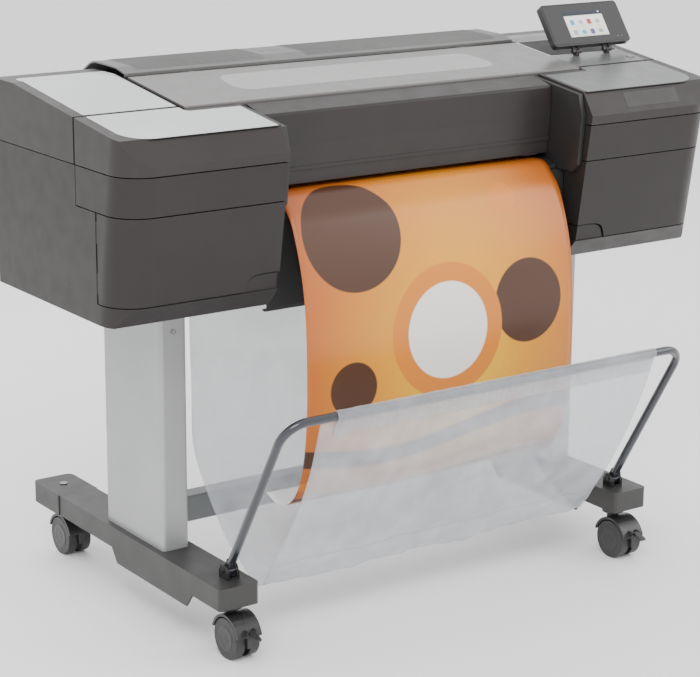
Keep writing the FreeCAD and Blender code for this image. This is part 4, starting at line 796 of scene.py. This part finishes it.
screen_mesh = NODES["control_screen"].data
tilt = math.radians(36)
screen_up = Vector((0, math.sin(tilt), math.cos(tilt)))
screen_out = Vector((0, -math.cos(tilt), math.sin(tilt)))
ups = [v.co.dot(screen_up) for v in screen_mesh.vertices]
outs = [v.co.dot(screen_out) for v in screen_mesh.vertices]
screen_lo, screen_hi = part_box("control_screen")
screen_x = (screen_lo.x + screen_hi.x) / 2
face_out = max(outs)
face_up = max(ups) - 0.047


def on_screen(co):
    return Vector((screen_x + co.x, 0, 0)) + screen_up * (face_up + co.y) \
        + screen_out * (face_out + co.z)


def box_outline(half_x, half_y, radius, steps=8):
    return rounded([(-half_x, -half_y), (half_x, -half_y), (half_x, half_y), (-half_x, half_y)],
                   [radius] * 4, steps)


dress("screen_glass", plate_mesh("screen_glass", box_outline(0.0955, 0.0425, 0.006), [
    (0.0, -0.4 * MM), (0.0, 0.3 * MM), (0.5 * MM, 0.7 * MM)], shape=on_screen),
    glass_black, "control_screen", smooth=False)
half_w, half_h, level = 0.050, 0.029, 0.9 * MM
panel = piece("screen_display",
              [on_screen(Vector(c)) for c in (
                  (-half_w, -half_h, level), (half_w, -half_h, level),
                  (half_w, half_h, level), (-half_w, half_h, level),
                  (-half_w, -half_h, 0.5 * MM), (half_w, -half_h, 0.5 * MM),
                  (half_w, half_h, 0.5 * MM), (-half_w, half_h, 0.5 * MM))],
              [(0, 1, 2, 3), (7, 6, 5, 4), (4, 5, 1, 0), (5, 6, 2, 1), (6, 7, 3, 2),
               (7, 4, 0, 3)], make_display(), "control_screen", smooth=False)
face_layer = panel.data.uv_layers.new(name="face")
corner_uv = {0: (0, 0), 1: (1, 0), 2: (1, 1), 3: (0, 1)}
for loop in panel.data.loops:
    face_layer.data[loop.index].uv = corner_uv[loop.vertex_index % 4]
dots("screen_keys", [on_screen(Vector((0.070 + 0.010 * k, -0.034, 0.6 * MM))) for k in (0, 1)],
     screen_out, 1.2 * MM, button_skin, "control_screen")

pit_front = screen_lo.y + 0.020
pit = rounded([(window_side + 0.001, pit_front), (outer_side - 0.003, pit_front),
               (outer_side - 0.003, pit_front + 0.108), (window_side + 0.001, pit_front + 0.108)],
              [0.004, 0.010, 0.012, 0.006], 6)
# The rim takes the inlay copy with the painted reflection.
top_plate("screen_pit_rim", drawn_in(pit, -2.2 * MM), inlay_painted_lit, "chassis",
          0.4 * MM)
top_plate("screen_pit", pit, gap_black, "chassis", 0.75 * MM)


# ---- sheets ------------------------------------------------------------------------------------

def even(points, count, passes=3):
    """The line smoothed and cut into equal lengths."""
    line = [p.copy() for p in points]
    for _ in range(passes):
        line = [line[0]] + [(a + 2 * b + c) / 4 for a, b, c in
                            zip(line, line[1:], line[2:])] + [line[-1]]
    lengths = [0.0]
    for a, b in zip(line, line[1:]):
        lengths.append(lengths[-1] + (b - a).length)
    out = []
    k = 0
    for index in range(count + 1):
        target = lengths[-1] * index / count
        while k < len(lengths) - 2 and lengths[k + 1] < target:
            k += 1
        t = (target - lengths[k]) / max(1e-9, lengths[k + 1] - lengths[k])
        out.append(line[k].lerp(line[k + 1], min(1.0, t)))
    return out, lengths[-1]


def ribbon_mesh(name, line, half, across, layer, offset):
    """A thin solid sheet: offset(u, v, x) moves its points along the sheet's normal."""
    verts, faces, coordinates = [], [], []
    count = len(line)
    step = sum((b - a).length for a, b in zip(line, line[1:])) / (count - 1)
    for j, point in enumerate(line):
        before = line[max(0, j - 1)]
        after = line[min(count - 1, j + 1)]
        along = (after - before).normalized()
        normal = Vector((0, -along.y, along.x))
        for i in range(across + 1):
            u = i / across
            v = j / (count - 1)
            lift, narrow = offset(u, v)
            x = (u * 2 - 1) * (half - narrow)
            verts.append(Vector((x, point.x, point.y)) + normal * lift)
            coordinates.append((u * 2 * half, j * step))
    for j in range(count - 1):
        for i in range(across):
            a = j * (across + 1) + i
            faces.append((a, a + 1, a + across + 2, a + across + 1))
    mesh = bpy.data.meshes.new(name)
    mesh.from_pydata([tuple(v) for v in verts], [], faces)
    uv = mesh.uv_layers.new(name=layer)
    for loop in mesh.loops:
        uv.data[loop.index].uv = coordinates[loop.vertex_index]
    return mesh


def thicken(made, thickness, material_shift=0):
    """Gives a sheet its thickness and applies it."""
    solid = made.modifiers.new("thickness", "SOLIDIFY")
    solid.thickness = thickness
    solid.offset = 0
    solid.material_offset = material_shift
    solid.use_even_offset = True
    apply_modifiers(made)


def fine(amount, places):
    """Smooth noise for slow waves, of the size given."""
    return amount * noise.noise(Vector(places))


def line_of(points, count):
    """A smooth line through points given in millimetres, cut into equal lengths."""
    dense = []
    flat = [Vector(p) * MM for p in points]
    extended = [flat[0] * 2 - flat[1]] + flat + [flat[-1] * 2 - flat[-2]]
    for k in range(len(flat) - 1):
        p0, p1, p2, p3 = extended[k:k + 4]
        for i in range(24):
            t = i / 24
            dense.append(0.5 * ((2 * p1) + (p2 - p0) * t + (2 * p0 - 5 * p1 + 4 * p2 - p3) * t * t
                                + (3 * p1 - p0 - 3 * p2 + p3) * t ** 3))
    dense.append(flat[-1])
    return even(dense, count, passes=2)


PAPER_WIDTH = 0.61
PAPER_PATH = [(0, 806), (-50, 806), (-148, 806.7), (-170, 804.7), (-188, 791), (-222, 747),
              (-258, 635), (-270, 475), (-264, 365), (-246, 290), (-216, 245), (-173, 227),
              (-130, 239)]
paper_line, paper_length = line_of(PAPER_PATH, 150)


def paper_wave(u, v):
    loose = min(1.0, max(0.0, (v - 0.32) / 0.3))
    edge = (abs(u - 0.5) * 2) ** 3
    wave = 0.0022 * math.sin(u * 5.1 + v * 3.0) + fine(0.0026, (u * 2.2, v * 2.6, 3.1))
    return loose * wave + loose * edge * 0.0010, 0.0


paper = ribbon_mesh("printed_sheet_print", paper_line, PAPER_WIDTH / 2, 48, "sheet", paper_wave)
SLOT_EDGE = Vector((-0.165, 0.8055))
slot_at = min(range(len(paper_line)), key=lambda k: (paper_line[k] - SLOT_EDGE).length)
slot_run = slot_at * paper_length / (len(paper_line) - 1)
for entry in paper.uv_layers["sheet"].data:
    entry.uv = (entry.uv[0], entry.uv[1] - slot_run)
print_skin = make_print()
back_skin = make_white_back()
paper.flip_normals()
paper_piece = dress("printed_sheet_print", paper, print_skin, None)
paper_piece.data.materials.append(back_skin.material)
thicken(paper_piece, 0.35 * MM, 1)
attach(paper_piece, "chassis")
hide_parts("printed_sheet")

CLOTH_HALF = 0.380
CLOTH_COLUMNS = 90
CLOTH_THICKNESS = 0.5 * MM
REAR_PATH = [(12, 597), (10, 447), (6, 319), (-28, 244), (-66, 187), (-118, 137), (-212, 99),
             (-248, 130), (-263, 154)]
FRONT_PATH = [(-263, 154), (-268, 162), (-290, 195), (-344, 281), (-388, 371), (-420, 462)]
rear_line, rear_length = line_of(REAR_PATH, 110)
front_line, front_length = line_of(FRONT_PATH, 70)
mesh_skin = make_mesh_fabric()


def cloth_wave(run, low_run):
    """Slack of the mesh: diagonal pulls from the corners and a soft waist."""
    def wave(u, v):
        side = (u - 0.5) * 2
        along = run + v * low_run
        ends = math.sin(math.pi * min(1.0, max(0.0, along / (rear_length + front_length))))
        folds = fine(0.0080, (side * 3.1 + along * 2.6, along * 1.7, 0.4))
        pulls = fine(0.0050, (side * 7.0 - along * 6.0, along * 2.4, 5.2))
        fold = fine(0.0022, (side * 15.0 + along * 9.0, along * 4.0, 8.8))
        return (folds + pulls + fold) * ends, 0.006 * ends * (0.6 + fine(0.8, (along * 5, side, 1)))
    return wave


def cloth(name, line, wave, skin):
    mesh = ribbon_mesh(name, line, CLOTH_HALF, CLOTH_COLUMNS, "cloth", wave)
    made = dress(name, mesh, skin, None)
    thicken(made, CLOTH_THICKNESS)
    return made


rear_cloth = cloth("basket_mesh_rear", rear_line, cloth_wave(0.0, rear_length), mesh_skin)
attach(rear_cloth, "chassis")
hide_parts("basket_fabric_rear")
front_cloth = cloth("basket_mesh_front", front_line, cloth_wave(rear_length, front_length),
                    mesh_skin)
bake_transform(front_cloth)
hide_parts("basket_fabric_front")

bar_lo, bar_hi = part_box("basket_bar")
tube_radius = 0.008
bar_top = (bar_lo.y + tube_radius, bar_hi.z - tube_radius)
SLEEVE_LEFT, SLEEVE_LENGTH, SLEEVE_RINGS = -0.350, 0.726, 60
sleeve_path = [Vector((SLEEVE_LEFT + SLEEVE_LENGTH * k / SLEEVE_RINGS, *bar_top))
               for k in range(SLEEVE_RINGS + 1)]
sleeve_radii = [tube_radius + (2.0 + 0.5 * math.sin(k * 1.9)) * MM
                for k in range(SLEEVE_RINGS + 1)]
sleeve_sides = 20
sleeve_verts, sleeve_faces = tube(sleeve_path, sleeve_radii, sleeve_sides, closed_ends=False)
sleeve = piece("bar_sleeve", sleeve_verts, sleeve_faces, mesh_skin, "basket_bar")
sleeve_uv = sleeve.data.uv_layers.new(name="cloth")
for loop in sleeve.data.loops:
    ring, k = divmod(loop.vertex_index, sleeve_sides)
    sleeve_uv.data[loop.index].uv = (0.0121 * ring, 0.0032 * k)


def hem_wave(u, v):
    """Small pleats, proud of the net they are sewn to."""
    pleat = 0.0008 * math.sin(u * 2 * math.pi * 46 + 2.0 * math.sin(u * 23.0))
    return 0.0022 + pleat, 0.0


HEM_ROWS = 7
HEM_HALF = 0.363
HEM_COLUMNS = 320
HEM_SHIFT = 0.013
hem_mesh = ribbon_mesh("basket_hem", front_line[-HEM_ROWS:], HEM_HALF, HEM_COLUMNS, "cloth",
                       hem_wave)
for vertex in hem_mesh.vertices:
    vertex.co.x += HEM_SHIFT
hem = dress("basket_hem", hem_mesh, mesh_skin, None)
thicken(hem, CLOTH_THICKNESS)
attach(hem, "basket_bar")


# ---- casters -----------------------------------------------------------------------------------

def ring_about_x(name, x_low, x_high, centre, radii, skin, body, sides=40):
    """A turned disc about X, from its radii at fractions across its width."""
    groups_verts, faces = [], []
    for fraction, radius in radii:
        x = x_low + (x_high - x_low) * fraction
        for k in range(sides):
            a = 2 * math.pi * k / sides
            groups_verts.append((x, centre[0] + math.cos(a) * radius,
                                 centre[1] + math.sin(a) * radius))
    rows = len(radii)
    for j in range(rows - 1):
        for k in range(sides):
            m = (k + 1) % sides
            faces.append((j * sides + k, j * sides + m, (j + 1) * sides + m, (j + 1) * sides + k))
    faces.append(tuple(range(sides)))
    faces.append(tuple(reversed(range((rows - 1) * sides, rows * sides))))
    return piece(name, groups_verts, faces, skin, body, smooth=False)


for end in ("front", "rear"):
    for side, sign in SIDES:
        wheel_lo, wheel_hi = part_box(f"caster_wheels_{end}_{side}")
        axle = ((wheel_lo.y + wheel_hi.y) / 2, (wheel_lo.z + wheel_hi.z) / 2)
        size = (wheel_hi.z - wheel_lo.z) / 2
        for label_side, face_x, away in (("in", wheel_lo.x, -1), ("out", wheel_hi.x, 1)):
            ring_about_x(f"hub_{end}_{side}_{label_side}", face_x - away * 0.4 * MM,
                         face_x + away * 0.9 * MM, axle,
                         [(0.0, size * 0.62), (0.5, size * 0.62), (1.0, size * 0.56),
                          (0.75, size * 0.30), (0.75, size * 0.22), (1.0, size * 0.20)],
                         fork_skin, f"wheels_{end}_{side}")


# ---- floor, light and camera -------------------------------------------------------------------

def stage_plane(name, size, place, colour):
    mesh = bpy.data.meshes.new(name)
    h = size / 2
    mesh.from_pydata([(-h, -h, 0), (h, -h, 0), (h, h, 0), (-h, h, 0)], [], [(0, 1, 2, 3)])
    made = bpy.data.objects.new(name, mesh)
    made.location = place
    material = bpy.data.materials.new(name)
    material.use_nodes = True
    shader = material.node_tree.nodes["Principled BSDF"]
    shader.inputs["Base Color"].default_value = colour + (1,)
    shader.inputs["Roughness"].default_value = 0.6
    mesh.materials.append(material)
    bpy.context.scene.collection.objects.link(made)
    return made


FLOOR_SIZE = 60
FLOOR_COLOUR = (0.95, 0.95, 0.95)
stage_plane("floor", FLOOR_SIZE, (0, 0, 0), FLOOR_COLOUR)

world = bpy.data.worlds.new("studio")
bpy.context.scene.world = world
world.use_nodes = True
world.node_tree.nodes["Background"].inputs["Color"].default_value = (1.0, 1.0, 1.0, 1)
world.node_tree.nodes["Background"].inputs["Strength"].default_value = 1.5

MIDDLE = Vector((0, 0, 0.55))


def area_light(name, place, energy, size, colour=(1, 1, 1)):
    data = bpy.data.lights.new(name, "AREA")
    data.energy = energy
    data.shape = "RECTANGLE"
    data.size = size[0]
    data.size_y = size[1]
    data.color = colour
    made = bpy.data.objects.new(name, data)
    made.location = place
    made.rotation_euler = (MIDDLE - Vector(place)).to_track_quat("-Z", "Y").to_euler()
    bpy.context.scene.collection.objects.link(made)


area_light("key", (-2.2, -2.4, 3.4), 90, (2.4, 1.6))
area_light("fill", (2.8, -2.0, 2.2), 35, (2.0, 2.0))
area_light("rim", (-0.5, 2.8, 3.0), 50, (2.4, 1.2))

CAMERA_PLACE = Vector((-2.3455172, -3.3138585, 1.5662977))
YAW, PITCH, ROLL = 0.6105, 0.2702, 0.0073
LENS_MM = 111.5
SENSOR_MM = 36
FRAME_SHIFT = 0.012
forward = Vector((math.sin(YAW) * math.cos(PITCH), math.cos(YAW) * math.cos(PITCH),
                  -math.sin(PITCH)))
level_right = Vector((math.cos(YAW), -math.sin(YAW), 0))
level_up = level_right.cross(forward)
right = math.cos(ROLL) * level_right + math.sin(ROLL) * level_up
above = -math.sin(ROLL) * level_right + math.cos(ROLL) * level_up
lens = bpy.data.cameras.new("camera")
lens.lens = LENS_MM
lens.shift_y = FRAME_SHIFT
lens.sensor_width = SENSOR_MM
camera = bpy.data.objects.new("camera", lens)
turn = Matrix((right, above, -forward)).transposed().to_4x4()
camera.matrix_world = Matrix.Translation(CAMERA_PLACE) @ turn
bpy.context.scene.collection.objects.link(camera)
bpy.context.scene.camera = camera
